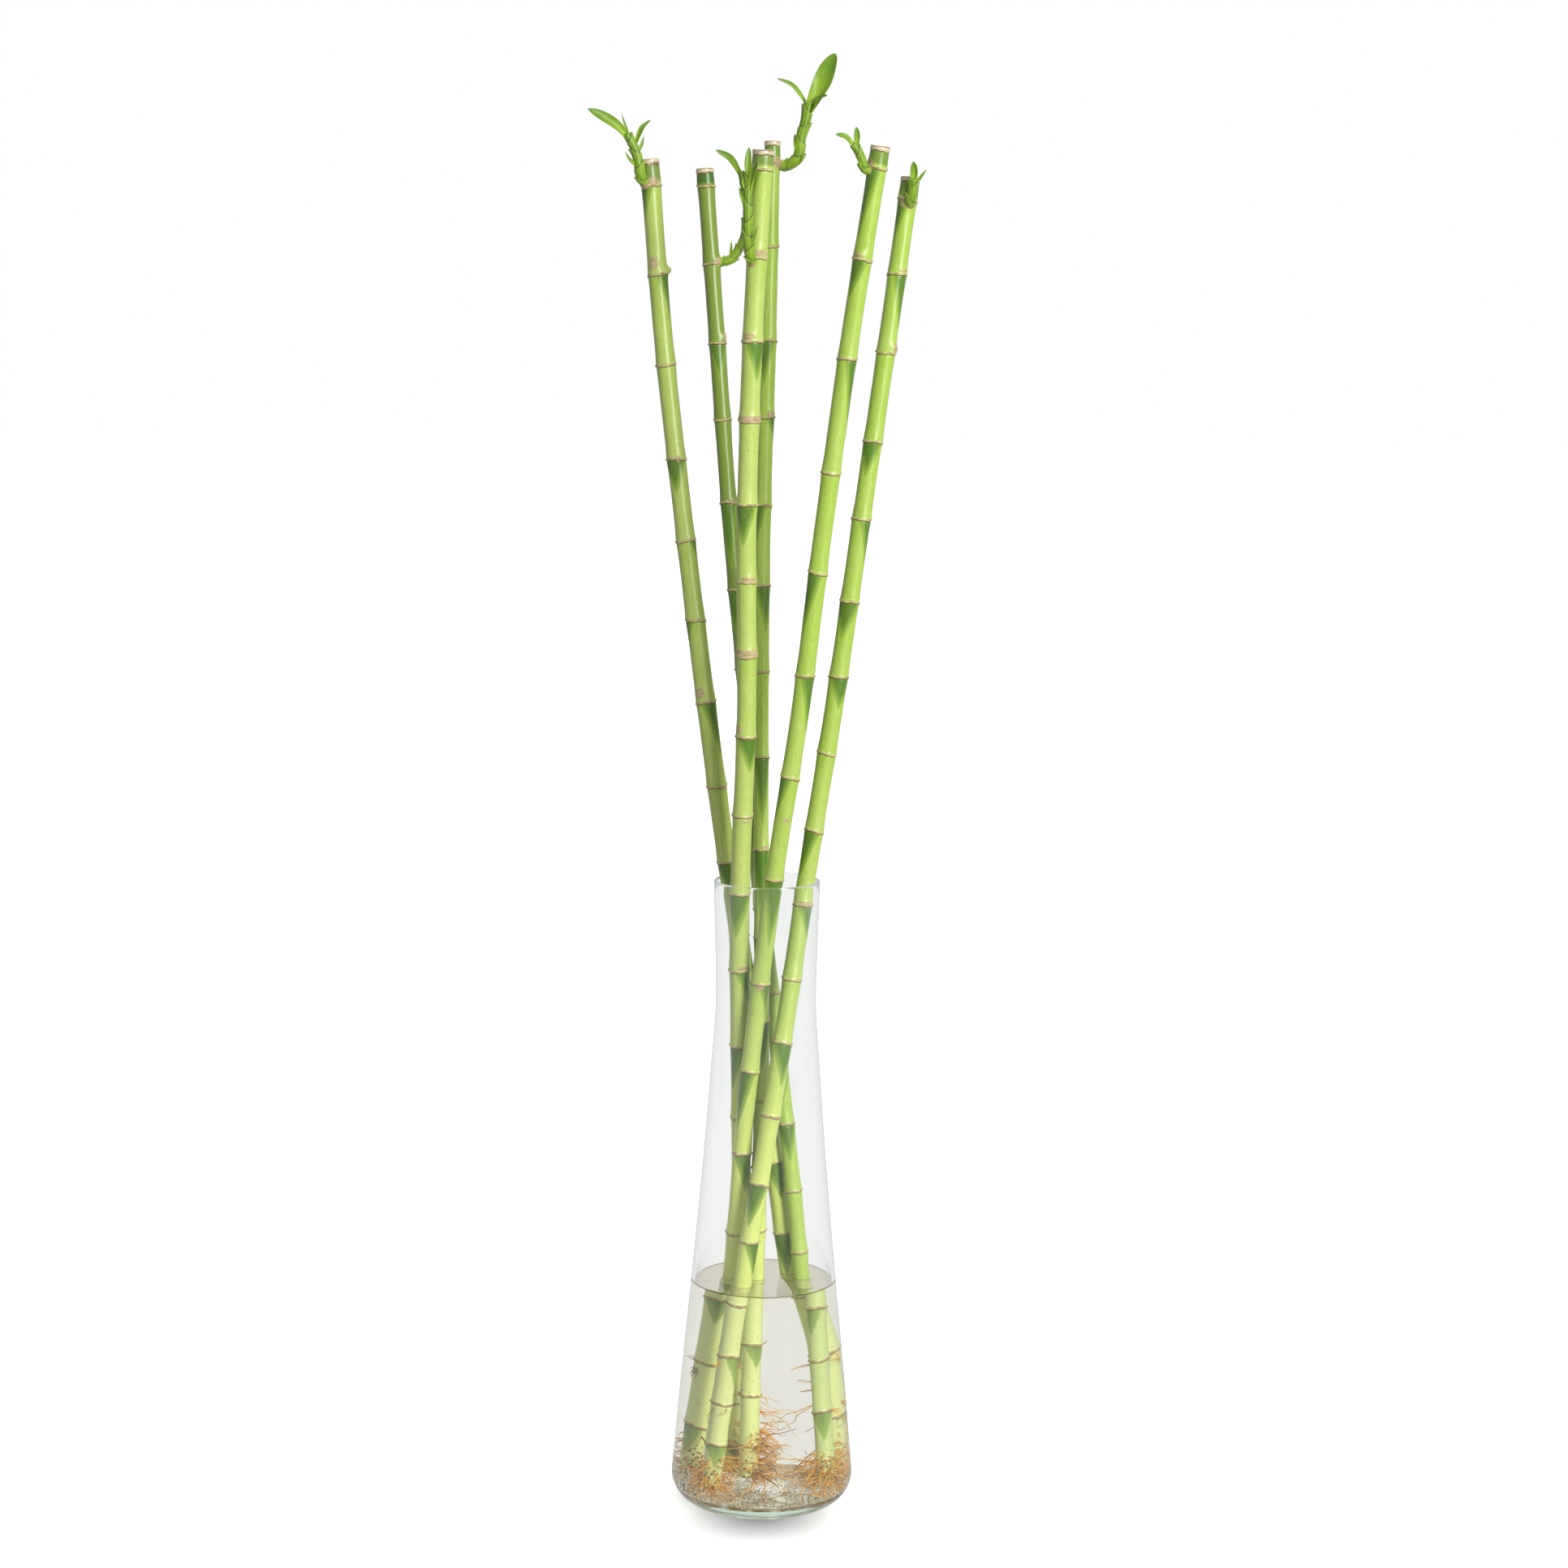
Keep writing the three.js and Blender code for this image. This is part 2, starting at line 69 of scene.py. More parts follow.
# Each cane, in millimetres: radius, heights of the two cut ends, how green and how dull its skin is, its
# node rings from the top down, and its axis as (x, y) at each of the axis heights. A ring is (height,
# the way that the dark patch below it faces in degrees, length of the patch): 0 is the front, 90 the right.
AXIS_HEIGHTS = [15, 85, 144, 270, 400, 510, 620, 735, 850]
CANES = [
    {
        "radius": 6.0, "bottom": 16, "top": 843, "green": 0.2, "dull": 0.12,
        "rings": [(827, -80, 26), (773, 75, 32), (718, 180, 22), (660, -20, 22), (610, 100, 20),
                  (561, -90, 20), (510, 60, 35), (458, 180, 20), (410, 0, 30), (362, 160, 28),
                  (314, 10, 26), (265, 190, 26), (216, 20, 24), (170, -10, 28), (132, 150, 18),
                  (92, -20, 14), (50, 120, 12)],
        "axis": [(30.5, 18.5), (26.3, 17.3), (16.3, 14.9), (-2, 15), (-23.5, 6.4),
                 (-39, 6.8), (-53.4, 12.8), (-67, 17.3), (-76.8, 20)],
    },
    {
        "radius": 5.2, "bottom": 15, "top": 839, "green": 0.85, "dull": 0.75,
        "rings": [(828, 180, 22), (780, 110, 14), (731, 0, 23), (684, 180, 20), (632, -20, 45),
                  (578, -30, 30), (529, 150, 24), (480, 0, 28), (430, 170, 26), (378, 10, 30),
                  (325, 180, 24), (282, 0, 26), (242, 0, 24), (200, 180, 16), (161, 180, 14),
                  (126, -30, 18), (93, 160, 10), (60, 10, 20), (30, 200, 8)],
        "axis": [(33.2, -6), (28.3, -1.8), (24.3, 1.9), (10.3, 11.7), (-5.6, 24.8),
                 (-14.3, 32), (-25.2, 37.6), (-34.5, 43.8), (-43.8, 50.5)],
    },
    {
        "radius": 6.1, "bottom": 16, "top": 846, "green": 0.2, "dull": 0.05,
        "rings": [(835, -95, 28), (783, 180, 20), (733, 35, 24), (686, 180, 20), (635, -20, 26),
                  (589, 180, 14), (543, 180, 16), (493, 30, 23), (444, 180, 22), (394, -20, 28),
                  (345, 70, 25), (295, -60, 30), (248, 160, 20), (205, 20, 26), (166, -20, 26),
                  (130, 170, 16), (97, 10, 14), (62, 190, 12), (34, 0, 8)],
        "axis": [(-11.6, 16.8), (-12.5, 16.8), (-13.7, 16.1), (-15.5, 1.5), (-16.4, -17.3),
                 (-13.3, -28.2), (-14.1, -35), (-11.3, -42.3), (-5.6, -50.3)],
    },
    {
        "radius": 4.8, "bottom": 19, "top": 855, "green": 0.65, "dull": 0.0,
        "rings": [(842, 160, 20), (791, 190, 18), (733, -30, 28), (686, 80, 15), (632, -60, 25),
                  (582, 30, 30), (529, 180, 18), (475, 10, 45), (417, 0, 50), (362, -10, 32),
                  (309, 0, 30), (260, 180, 18), (216, -15, 24), (176, 180, 16), (138, 170, 14),
                  (104, 30, 16), (72, 200, 10), (40, 170, 8)],
        "axis": [(-6.4, -7.5), (-5.6, -3.6), (-4.4, -1.1), (-2.2, 0.9), (-3.6, 9.1),
                 (-4.6, 15.4), (-4.4, 19.9), (-2.2, 24.1), (-0.9, 28)],
    },
    {
        "radius": 5.7, "bottom": 19, "top": 849, "green": 0.66, "dull": 0.0,
        "rings": [(836, -60, 44), (782, -50, 24), (723, 70, 45), (655, 180, 22), (594, -60, 40),
                  (531, 60, 35), (468, -80, 30), (404, 20, 44), (338, 70, 22), (281, -50, 38),
                  (227, 40, 25), (174, 170, 20), (131, -5, 17), (89, 170, 14), (47, -60, 20)],
        "axis": [(-34, 6.8), (-26.4, 5.6), (-20.3, 3.1), (-10.6, -11.4), (3.9, -24),
                 (19.6, -30.1), (32.3, -34.9), (47, -40.1), (63.8, -45.6)],
    },
    {
        "radius": 5.8, "bottom": 16, "top": 833, "green": 0.62, "dull": 0.0,
        "rings": [(819, -60, 25), (774, 60, 35), (727, 180, 20), (672, -20, 22), (625, 70, 30),
                  (574, -20, 25), (527, 25, 20), (480, 180, 18), (431, -50, 30), (385, 60, 22),
                  (339, 180, 18), (299, 30, 27), (254, 180, 18), (210, -25, 28), (173, 60, 22),
                  (134, 190, 14), (100, 60, 20), (70, 180, 12), (43, 0, 14)],
        "axis": [(-27.7, -21), (-20.1, -19.1), (-13, -18.3), (6.3, -15.9), (24.4, -2.5),
                 (40.8, 1.5), (55.5, 2.5), (70.9, 4.5), (85.8, 7.5)],
    },
]

# Dry scars, in millimetres: cane, height, the way they face in degrees, half width, half height. One
# whose half width is at least this many radii is a rough band that goes all round.
BAND_FROM = 3
SCARS = [
    (1, 829, 0, 6.5, 3.0), (1, 780, -18, 3.2, 4.2), (1, 516.5, -30, 3.6, 3.6), (1, 457, 50, 3.0, 1.2),
    (1, 660, 10, 1.0, 2.4), (2, 735, 58, 1.3, 3.2), (2, 781, 75, 4.5, 3.4), (2, 632.5, 30, 1.4, 2.2),
    (3, 786, 15, 6.5, 2.3), (3, 736.5, -22, 4.2, 2.4), (3, 688, 0, 40, 1.6), (3, 591, 20, 7.0, 1.2),
    (3, 545.5, 0, 40, 2.2), (3, 498.5, -42, 2.4, 3.2), (3, 441.5, 25, 5.0, 1.0), (3, 347.5, 30, 4.5, 1.6),
    (4, 688.5, 34, 3.0, 1.8), (4, 842.5, 50, 5.0, 3.6), (4, 419, 30, 3.0, 1.2), (5, 784.5, -25, 3.6, 1.8),
    (5, 442.5, 18, 2.6, 1.8), (5, 446.5, 25, 3.2, 0.5), (5, 336.5, 0, 2.6, 2.4), (5, 837.5, -65, 5.0, 3.8),
    (6, 730.5, 52, 1.8, 3.4), (6, 817.5, 5, 6.0, 3.6), (6, 776.5, 40, 4.0, 1.0), (6, 301.5, -55, 2.2, 1.6),
    (6, 253.5, 20, 6.0, 1.4), (6, 386.5, 10, 6.0, 1.4), (2, 242.5, -30, 2.0, 1.2), (5, 228, -40, 1.6, 1.0),
]

# Sleeping buds, in millimetres: cane, height, the way they face in degrees, how far they stand out
BUDS = [
    (1, 775, 84, 2.4), (1, 780, -20, 0.7), (1, 517, -30, 0.6), (3, 787, 5, 0.9), (4, 688, 40, 0.7),
    (5, 785, -20, 0.8), (6, 730, 52, 1.5), (6, 820, 0, 0.8), (2, 735, 60, 0.9), (2, 782, 75, 1.0),
    (3, 737, -22, 0.5), (3, 499, -42, 0.5),
]

# Leafy shoots, in millimetres: the stem's route with its radius at both ends, and its leaves and sheath
# tips as (half width, way that the upper face looks, points of the midrib).
SHOOTS = [
    {
        "stem": [(-77, 16, 827), (-81, 12.8, 833), (-84, 12, 847), (-90, 11, 858)],
        "thick": 3.2, "thin": 2.2,
        "leaves": [
            (3.2, (0.1, -1, 0.3), [(-86, 12, 852), (-95, 9.5, 861.8), (-104, 6, 867.6), (-113, 2, 872)]),
            (0.9, (0, -1, 0), [(-88, 12, 855), (-91, 13, 864), (-93, 14, 870)]),
            (2.2, (-0.5, -0.6, 0.6), [(-85, 12.5, 849), (-80.5, 18, 861), (-76, 24, 867)]),
            (1.2, (0, -1, 0.2), [(-83.5, 12.5, 846), (-80.5, 15, 852), (-79.5, 16, 857)]),
            (1.2, (0, -1, 0.4), [(-83, 12, 838), (-87.5, 9.5, 842), (-90.5, 8, 847)]),
        ],
    },
    {
        "stem": [(-36, 46, 781), (-27, 46.5, 783), (-19.5, 48.5, 793), (-16.5, 51, 815), (-20.5, 52, 838)],
        "thick": 2.6, "thin": 1.9,
        "leaves": [
            (2.3, (0.3, -0.8, 0.5), [(-19.5, 52, 833), (-27, 55, 845), (-36, 58, 851)]),
            (1.9, (-0.3, -0.7, 0.6), [(-19, 52, 831), (-12, 58, 842), (-6, 62, 846)]),
            (1.0, (0, -1, 0), [(-26.5, 46, 784), (-26, 44, 790), (-26, 43.5, 795)]),
        ],
    },
    {
        "stem": [(-11, -48, 779), (-13.8, -54.5, 787), (-14.5, -57, 803), (-14.6, -57, 830)],
        "thick": 2.9, "thin": 2.2,
        "leaves": [
            (2.0, (0, -1, 0), [(-14.6, -57, 825), (-14.8, -56.6, 837), (-14.2, -56, 847)]),
            (2.2, (-0.4, -0.8, 0.5), [(-14, -58, 820), (-11, -62, 832), (-8.3, -66, 838)]),
            (1.0, (0, -1, 0), [(-15.5, -57.5, 811), (-18.5, -59, 818), (-20.2, -60, 824)]),
            (1.0, (0, -1, 0), [(-15, -57, 820), (-17.5, -58, 826), (-18.8, -58, 831)]),
            (1.0, (0, -1, 0), [(-13.5, -57, 790), (-10.5, -60, 795), (-9, -62, 801)]),
        ],
    },
    {
        "stem": [(2, 27, 841), (9, 26, 840.5), (15, 25, 846), (16.6, 25, 857), (19.2, 25, 867),
                 (21.4, 25, 879)],
        "thick": 3.2, "thin": 2.8,
        "leaves": [
            (5.9, (-0.2, -1, 0.2),
             [(21.5, 25, 873), (28.2, 24.5, 887), (32.2, 23.5, 897), (37.2, 22, 907.6)]),
            (1.6, (0.3, -0.7, 0.6), [(20.5, 25.5, 876), (12, 30, 888), (2, 34, 893.5)]),
            (2.4, (-0.2, -0.6, 0.8), [(20.5, 25, 869), (27, 20, 880), (32, 14, 882)]),
            (1.0, (0, -1, 0.2), [(12.5, 25, 841.5), (16.5, 22.5, 842.5), (17.8, 20, 847)]),
            (1.0, (0, -1, 0.2), [(14.5, 24.5, 848), (12.8, 21.5, 853), (12.1, 20, 858)]),
        ],
    },
    {
        "stem": [(59, -46, 834), (54.8, -48.5, 835.5), (52, -50.5, 842), (47, -52, 850)],
        "thick": 2.7, "thin": 2.0,
        "leaves": [
            (2.2, (0.2, -0.7, 0.7), [(50, -51, 845), (43, -55, 853), (37, -58, 855)]),
            (1.8, (0, -1, 0), [(49, -51.5, 846), (49.5, -53, 854), (49, -54, 859.5)]),
            (1.0, (0, -1, 0.3), [(53, -50, 836), (51, -52.5, 839), (50, -54, 842)]),
        ],
    },
    {
        "stem": [(82.5, 4.5, 815), (83.6, 0.4, 819), (84.7, -1, 826), (84.9, -2.4, 832)],
        "thick": 3.1, "thin": 2.3,
        "leaves": [
            (2.3, (0, -1, 0.2), [(85, -1.2, 827), (85.2, -3.6, 836), (84.7, -6, 842)]),
            (1.2, (-0.4, -0.8, 0.4), [(85, -0.8, 826), (89.5, 0.2, 833), (92.7, 1, 837.5)]),
            (1.3, (0.3, -0.9, 0.3), [(84.4, -1, 823), (82.8, -3, 829), (82.2, -4, 834)]),
        ],
    },
]


def linear(hex_colour):
    """An sRGB hex value as linear red, green and blue."""
    parts = [int(hex_colour[i:i + 2], 16) / 255 for i in (1, 3, 5)]
    return tuple(c / 12.92 if c <= 0.04045 else ((c + 0.055) / 1.055) ** 2.4 for c in parts)


def smooth_step(low, high, value):
    """0 below low, 1 above high, and a smooth rise between, for numbers and arrays."""
    share = np.clip((value - low) / (high - low), 0, 1)
    return share * share * (3 - 2 * share)


def hermite(times, values, at):
    """A smooth line through values at uneven times. Each row of the answer is its place at one time."""
    times, values, at = np.asarray(times, float), np.asarray(values, float), np.asarray(at, float)
    slopes = np.diff(values, axis=0) / np.diff(times)[:, None]
    tangents = np.vstack([slopes[:1], (slopes[1:] + slopes[:-1]) / 2, slopes[-1:]])
    i = np.clip(np.searchsorted(times, at) - 1, 0, len(times) - 2)
    step = (times[i + 1] - times[i])[:, None]
    p = ((at - times[i]) / (times[i + 1] - times[i]))[:, None]
    return (
        values[i] * (2 * p**3 - 3 * p**2 + 1) + values[i + 1] * (3 * p**2 - 2 * p**3)
        + tangents[i] * step * (p**3 - 2 * p**2 + p) + tangents[i + 1] * step * (p**3 - p**2)
    )


def cane_place(cane, heights):
    """Points on a cane's axis, in millimetres."""
    heights = np.atleast_1d(np.asarray(heights, float))
    return np.column_stack([hermite(AXIS_HEIGHTS, cane["axis"], heights), heights])


# Length below which a direction isn't scaled up, and distance within which corners become one
LEAST_LENGTH = 1e-9
SAME_PLACE = 1e-5


def unit(vectors):
    return vectors / np.maximum(np.linalg.norm(vectors, axis=-1, keepdims=True), LEAST_LENGTH)


def curve_points(points, at):
    """Places and directions on a smooth line through points, at shares from 0 to 1."""
    points = np.asarray(points, float)
    gaps = np.linalg.norm(np.diff(points, axis=0), axis=1)
    times = np.concatenate([[0], np.cumsum(np.sqrt(gaps))])
    times /= times[-1]
    at = np.clip(np.asarray(at, float), 0, 1)
    tiny = 1e-3
    ahead = hermite(times, points, np.clip(at + tiny, 0, 1))
    back = hermite(times, points, np.clip(at - tiny, 0, 1))
    return hermite(times, points, at), unit(ahead - back)


def sides_of(ahead, face):
    """Directions beside a line and up from it, where its upper side looks roughly the way of face."""
    beside = unit(np.cross(np.broadcast_to(np.asarray(face, float), ahead.shape), ahead))
    return beside, np.cross(ahead, beside)


def wrapped(middle, ahead, out, angle):
    """Points at distances and angles round a line, where angle 0 is its front."""
    beside, back = sides_of(ahead, (0, 1, 0))
    return middle + beside * (out * np.sin(angle))[:, None] - back * (out * np.cos(angle))[:, None]


def coordinates(mesh):
    flat = np.empty(len(mesh.vertices) * 3, np.float32)
    mesh.vertices.foreach_get("co", flat)
    return flat.reshape(-1, 3).astype(float)


def move_to(mesh, places):
    mesh.vertices.foreach_set("co", np.asarray(places, np.float32).ravel())
    mesh.update()


def add_fields(mesh, **fields):
    """Numbers for each corner of the mesh, which its material reads by name."""
    for name, values in fields.items():
        field = mesh.attributes.new(name, "FLOAT", "POINT")
        field.data.foreach_set("value", np.asarray(values, np.float32))


def mesh_of(bm, name):
    mesh = bpy.data.meshes.new(name)
    bm.to_mesh(mesh)
    bm.free()
    return mesh


def turned(profile, steps):
    """A bmesh turned round the Z axis from points of radius and height that start and end on it."""
    bm = bmesh.new()
    corners = [bm.verts.new((radius, 0, height)) for radius, height in profile]
    edges = [bm.edges.new(pair) for pair in zip(corners, corners[1:])]
    bmesh.ops.spin(
        bm, geom=corners + edges, cent=(0, 0, 0), axis=(0, 0, 1), dvec=(0, 0, 0), angle=2 * math.pi,
        space=Matrix.Identity(4), steps=steps, use_merge=True, use_duplicate=False,
    )
    bmesh.ops.remove_doubles(bm, verts=bm.verts, dist=SAME_PLACE)
    bmesh.ops.recalc_face_normals(bm, faces=bm.faces)
    return bm


def add_piece(name, mesh, materials, replaced=None):
    """A finished piece that rides with the vase in the given materials, hiding the part it replaces."""
    piece = bpy.data.objects.new(name, mesh)
    bpy.context.scene.collection.objects.link(piece)
    for material in materials:
        mesh.materials.append(material)
    mesh.polygons.foreach_set("use_smooth", [True] * len(mesh.polygons))
    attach(piece, "root")
    if replaced:
        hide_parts(replaced)
    return piece


def node(tree, kind, inputs=None, output=0, **settings):
    """Adds a node with its settings, sets or links its inputs, and gives back one of its outputs."""
    made = tree.nodes.new(kind)
    for key, value in settings.items():
        setattr(made, key, value)
    for key, value in (inputs or {}).items():
        if isinstance(value, bpy.types.NodeSocket):
            tree.links.new(value, made.inputs[key])
        else:
            made.inputs[key].default_value = value
    return made.outputs[output] if made.outputs else None


def new_tree(name):
    """A material with an empty tree."""
    material = bpy.data.materials.new(name)
    material.use_nodes = True
    material.node_tree.nodes.clear()
    return material, material.node_tree


def grain(tree, sizes, detail=3.0, roughness=0.5):
    """A random pattern from 0 to 1 whose grains have the given sizes in millimetres."""
    scale = [1 / (size * MM) for size in sizes]
    where = node(tree, "ShaderNodeTexCoord", output="Object")
    place = node(tree, "ShaderNodeMapping", {"Vector": where, "Scale": scale})
    return node(tree, "ShaderNodeTexNoise", {
        "Vector": place, "Scale": 1.0, "Detail": detail, "Roughness": roughness,
    })


def layer(tree, below, above, source, low, high, share=1.0):
    """A colour laid over what is below it, where the source rises from low to high."""
    cover = node(tree, "ShaderNodeMapRange", {
        "Value": source, "From Min": low, "From Max": high, "To Max": share,
    }, interpolation_type="SMOOTHSTEP")
    below, above = [c if isinstance(c, bpy.types.NodeSocket) else (*c, 1) for c in (below, above)]
    # Inputs 6 and 7 of a Mix node are its colours, and output 2 is the colour that comes out
    return node(tree, "ShaderNodeMix", {0: cover, 6: below, 7: above}, 2, data_type="RGBA")


def layers(tree, colour, steps):
    """Colours laid over the first one in turn, each step as layer() takes it."""
    for step in steps:
        colour = layer(tree, colour, *step)
    return colour


def blended(tree, field, pattern, share):
    """A field of the piece with its edge broken up by a share of a random pattern."""
    name = node(tree, "ShaderNodeAttribute", output="Fac", attribute_name=field)
    return node(tree, "ShaderNodeMath", {0: pattern, 1: share, 2: name}, operation="MULTIPLY_ADD")


def finish(material, inputs):
    """Gives a material its surface, and gives the material back."""
    surface = node(material.node_tree, "ShaderNodeBsdfPrincipled", inputs)
    node(material.node_tree, "ShaderNodeOutputMaterial", {"Surface": surface})
    return material


# Turns after which light counts as trapped in the glass wall, and in the water. It then leaves straight
# on, because the real wall would lead it to the white paper.
TRAPPED_IN_GLASS = 3.5
TRAPPED_IN_WATER = 7.5


def clear_surface(tree, settings, colour, ior, shade, trapped_after):
    """Smooth clear matter that lets lamps and soft light through unbent, to light what stands in it."""
    shader = node(tree, "ShaderNodeBsdfPrincipled", {
        "Base Color": colour, "Roughness": 0.0, "IOR": ior, "Transmission Weight": 1.0,
        "Specular Tint": (*settings.mirror_tint, 1),
    })
    shadow = node(tree, "ShaderNodeLightPath", output="Is Shadow Ray")
    soft = node(tree, "ShaderNodeLightPath", output="Is Diffuse Ray")
    kind = node(tree, "ShaderNodeMath", {0: shadow, 1: soft}, operation="MAXIMUM")
    depth = node(tree, "ShaderNodeLightPath", output="Ray Depth")
    trapped = node(tree, "ShaderNodeMath", {0: depth, 1: trapped_after}, operation="GREATER_THAN")
    kind = node(tree, "ShaderNodeMath", {0: kind, 1: trapped}, operation="MAXIMUM")
    clear = node(tree, "ShaderNodeBsdfTransparent", {"Color": (*linear(shade), 1)})
    return node(tree, "ShaderNodeMixShader", {0: kind, 1: shader, 2: clear})


def glass_material(settings):
    # Pressed soda-lime glass: clear and smooth. Iron in it shows green where one looks along the wall.
    material, tree = new_tree("soda_lime_glass")
    surface = clear_surface(tree, settings, (1, 1, 1, 1), settings.glass_ior, "#fcfdfc", TRAPPED_IN_GLASS)
    tint = node(tree, "ShaderNodeVolumeAbsorption", {
        "Color": (*settings.glass_tint, 1), "Density": settings.glass_density,
    })
    node(tree, "ShaderNodeOutputMaterial", {"Surface": surface, "Volume": tint})
    return material


def water_material(settings):
    # Still tap water, a few weeks old: clear below, with a thin brown film on top that is thickest where
    # it meets the wall, a line there that is partly a painted dark reflection of the meniscus, and drifts
    # of silt on the floor.
    material, tree = new_tree("still_water")
    drifts = grain(tree, (7, 7, 7), 5, 0.65)
    film = node(tree, "ShaderNodeAttribute", output="Fac", attribute_name="film")
    colour = layers(tree, settings.water_cast, [
        (settings.water_film, film, 0.0, 0.5),
        (settings.water_line_and_reflection, film, 0.5, 1.0),
        (settings.silt, blended(tree, "silt", drifts, 1.4), 1.35, 1.75, 0.95),
    ])
    surface = clear_surface(tree, settings, colour, settings.water_ior, "#fdfdfd", TRAPPED_IN_WATER)
    node(tree, "ShaderNodeOutputMaterial", {"Surface": surface})
    return material


# How far apart, in millimetres, root spots are at a cane's foot, pits in its skin and fibre bundles in its
# cut end, and how wide a root spot is as a share of that
SPOT_SPACING = 2.7
SPOT_WIDTH = 0.42
PIT_SPACING = 24
BUNDLE_SPACING = 0.7


def cane_material(settings):
    # Living cane skin: a smooth waxy cuticle over fine lengthwise fibres, yellow-green low in each
    # internode, with dark patches below the node rings and dry, cream lips on the rings. The thin brown
    # line under each lip is partly painted shadow.
    material, tree = new_tree("waxy_cane_skin")
    fibres = grain(tree, (0.5, 0.5, 14))
    blotches = grain(tree, (6, 6, 16), 4)
    flecks = grain(tree, (0.9, 0.9, 0.9), 4, 0.65)
    dust = grain(tree, (1.4, 1.4, 2.5), 5)
    husk = grain(tree, (3.5, 3.5, 0.6), 4, 0.6)
    wet = node(tree, "ShaderNodeAttribute", output="Fac", attribute_name="wet")
    streaks = node(tree, "ShaderNodeMath", {0: blotches, 1: fibres}, operation="ADD")
    edge = blended(tree, "patch", streaks, 0.08)
    dry = layer(tree, settings.lip_dark, settings.lip_light, husk, 0.3, 0.56)
    dry = layer(tree, dry, settings.lip_wet, wet, 0.2, 0.8)
    ring = blended(tree, "lip", husk, 0.5)
    scar = blended(tree, "scar", flecks, 0.7)
    bark = layer(tree, settings.scar_dark, settings.scar_light, husk, 0.3, 0.6)
    crown = layer(tree, settings.scar_dark, settings.cut_light, husk, 0.3, 0.5)
    where = node(tree, "ShaderNodeTexCoord", output="Object")
    dots = node(tree, "ShaderNodeTexVoronoi", {
        "Vector": where, "Scale": 1 / (SPOT_SPACING * MM), "Randomness": 0.85,
    })
    near = node(tree, "ShaderNodeMath", {0: SPOT_WIDTH, 1: dots}, operation="SUBTRACT")
    pits = node(tree, "ShaderNodeTexVoronoi", {"Vector": where, "Scale": 1 / (PIT_SPACING * MM)})
    skin = layers(tree, settings.skin_light, [
        (settings.skin_green, blended(tree, "tone", blotches, 0.5), 0.15, 1.15),
        (settings.skin_fibre, fibres, 0.35, 0.75, 0.22),
        (settings.skin_pale, blended(tree, "pale", fibres, 0.15), 0.1, 1.1),
        (settings.skin_dull, blended(tree, "dull", blotches, 0.05), 0.02, 1.02),
        # Paler skin under water: partly painted light, making up for light that water and glass hold back
        (settings.skin_wet_brightened, wet, 0.2, 1.0, 0.42),
        (settings.skin_mid, edge, 0.06, 0.15, 0.75),
        (settings.skin_dark, edge, 0.12, 0.55, 0.9),
        (settings.skin_stub, blended(tree, "stub", flecks, 0.1), 0.1, 1.0, 0.9),
        (settings.skin_dust, dust, 0.62, 0.72, 0.3),
        (dry, ring, 0.66, 0.84),
        # A thin brown line in the groove under each lip, partly painted shadow of the lip
        (settings.lip_line_and_shade, blended(tree, "groove", flecks, 0.5), 0.62, 0.9, 0.9),
        (bark, scar, 0.52, 0.9, 0.9),
        (crown, blended(tree, "crown", flecks, 0.25), 0.45, 0.75),
        (settings.lip_line_and_shade, blended(tree, "burr", flecks, 0.5), 0.6, 0.9, 0.9),
        (settings.root_spot, blended(tree, "foot", near, 4.0), 1.1, 1.4, 0.9),
    ])
    skin = layer(tree, settings.lip_line_and_shade, skin, pits, 0.005, 0.011)
    dryness = node(tree, "ShaderNodeMath", {0: ring, 1: scar}, operation="MAXIMUM")
    roughness = node(tree, "ShaderNodeMapRange", {
        "Value": dryness, "From Min": 0.62, "From Max": 0.86, "To Min": 0.36, "To Max": 0.75,
    })
    relief = node(tree, "ShaderNodeMath", {0: fibres, 1: flecks}, operation="ADD")
    bump = node(tree, "ShaderNodeBump", {"Height": relief, "Distance": 0.03 * MM, "Strength": 0.3})
    return finish(material, {
        "Base Color": skin, "Roughness": roughness, "Normal": bump, "IOR": 1.45, "Coat Weight": 0.18,
        "Coat Roughness": 0.22,
    })


def cut_material(settings):
    # Dried cut end: pale pith dotted with fibre bundles.
    material, tree = new_tree("dry_cut_pith")
    where = node(tree, "ShaderNodeTexCoord", output="Object")
    dots = node(tree, "ShaderNodeTexVoronoi", {"Vector": where, "Scale": 1 / (BUNDLE_SPACING * MM)})
    colour = layer(tree, settings.cut_dark, settings.cut_light, dots, 0.15, 0.4)
    bump = node(tree, "ShaderNodeBump", {"Height": dots, "Distance": 0.1 * MM, "Strength": 0.6})
    return finish(material, {"Base Color": colour, "Roughness": 0.8, "Normal": bump})


def root_material(settings):
    # Water roots: thin, soft and orange, browner where they leave the cane and pale at the tips.
    material, tree = new_tree("orange_water_root")
    hue = blended(tree, "along", grain(tree, (1.6, 1.6, 1.6)), 0.7)
    old = node(tree, "ShaderNodeAttribute", output="Fac", attribute_name="old")
    colour = layers(tree, settings.root_dark, [
        (settings.root_mid, hue, 0.25, 0.5),
        (settings.root_pale, hue, 0.7, 1.4),
        (settings.root_brown, old, 0.2, 0.8),
    ])
    return finish(material, {"Base Color": colour, "Roughness": 0.4})


# Turns, in radians, of the sine that draws the veins between the midrib and the edge of a broad leaf
VEIN_TURNS = 20.0


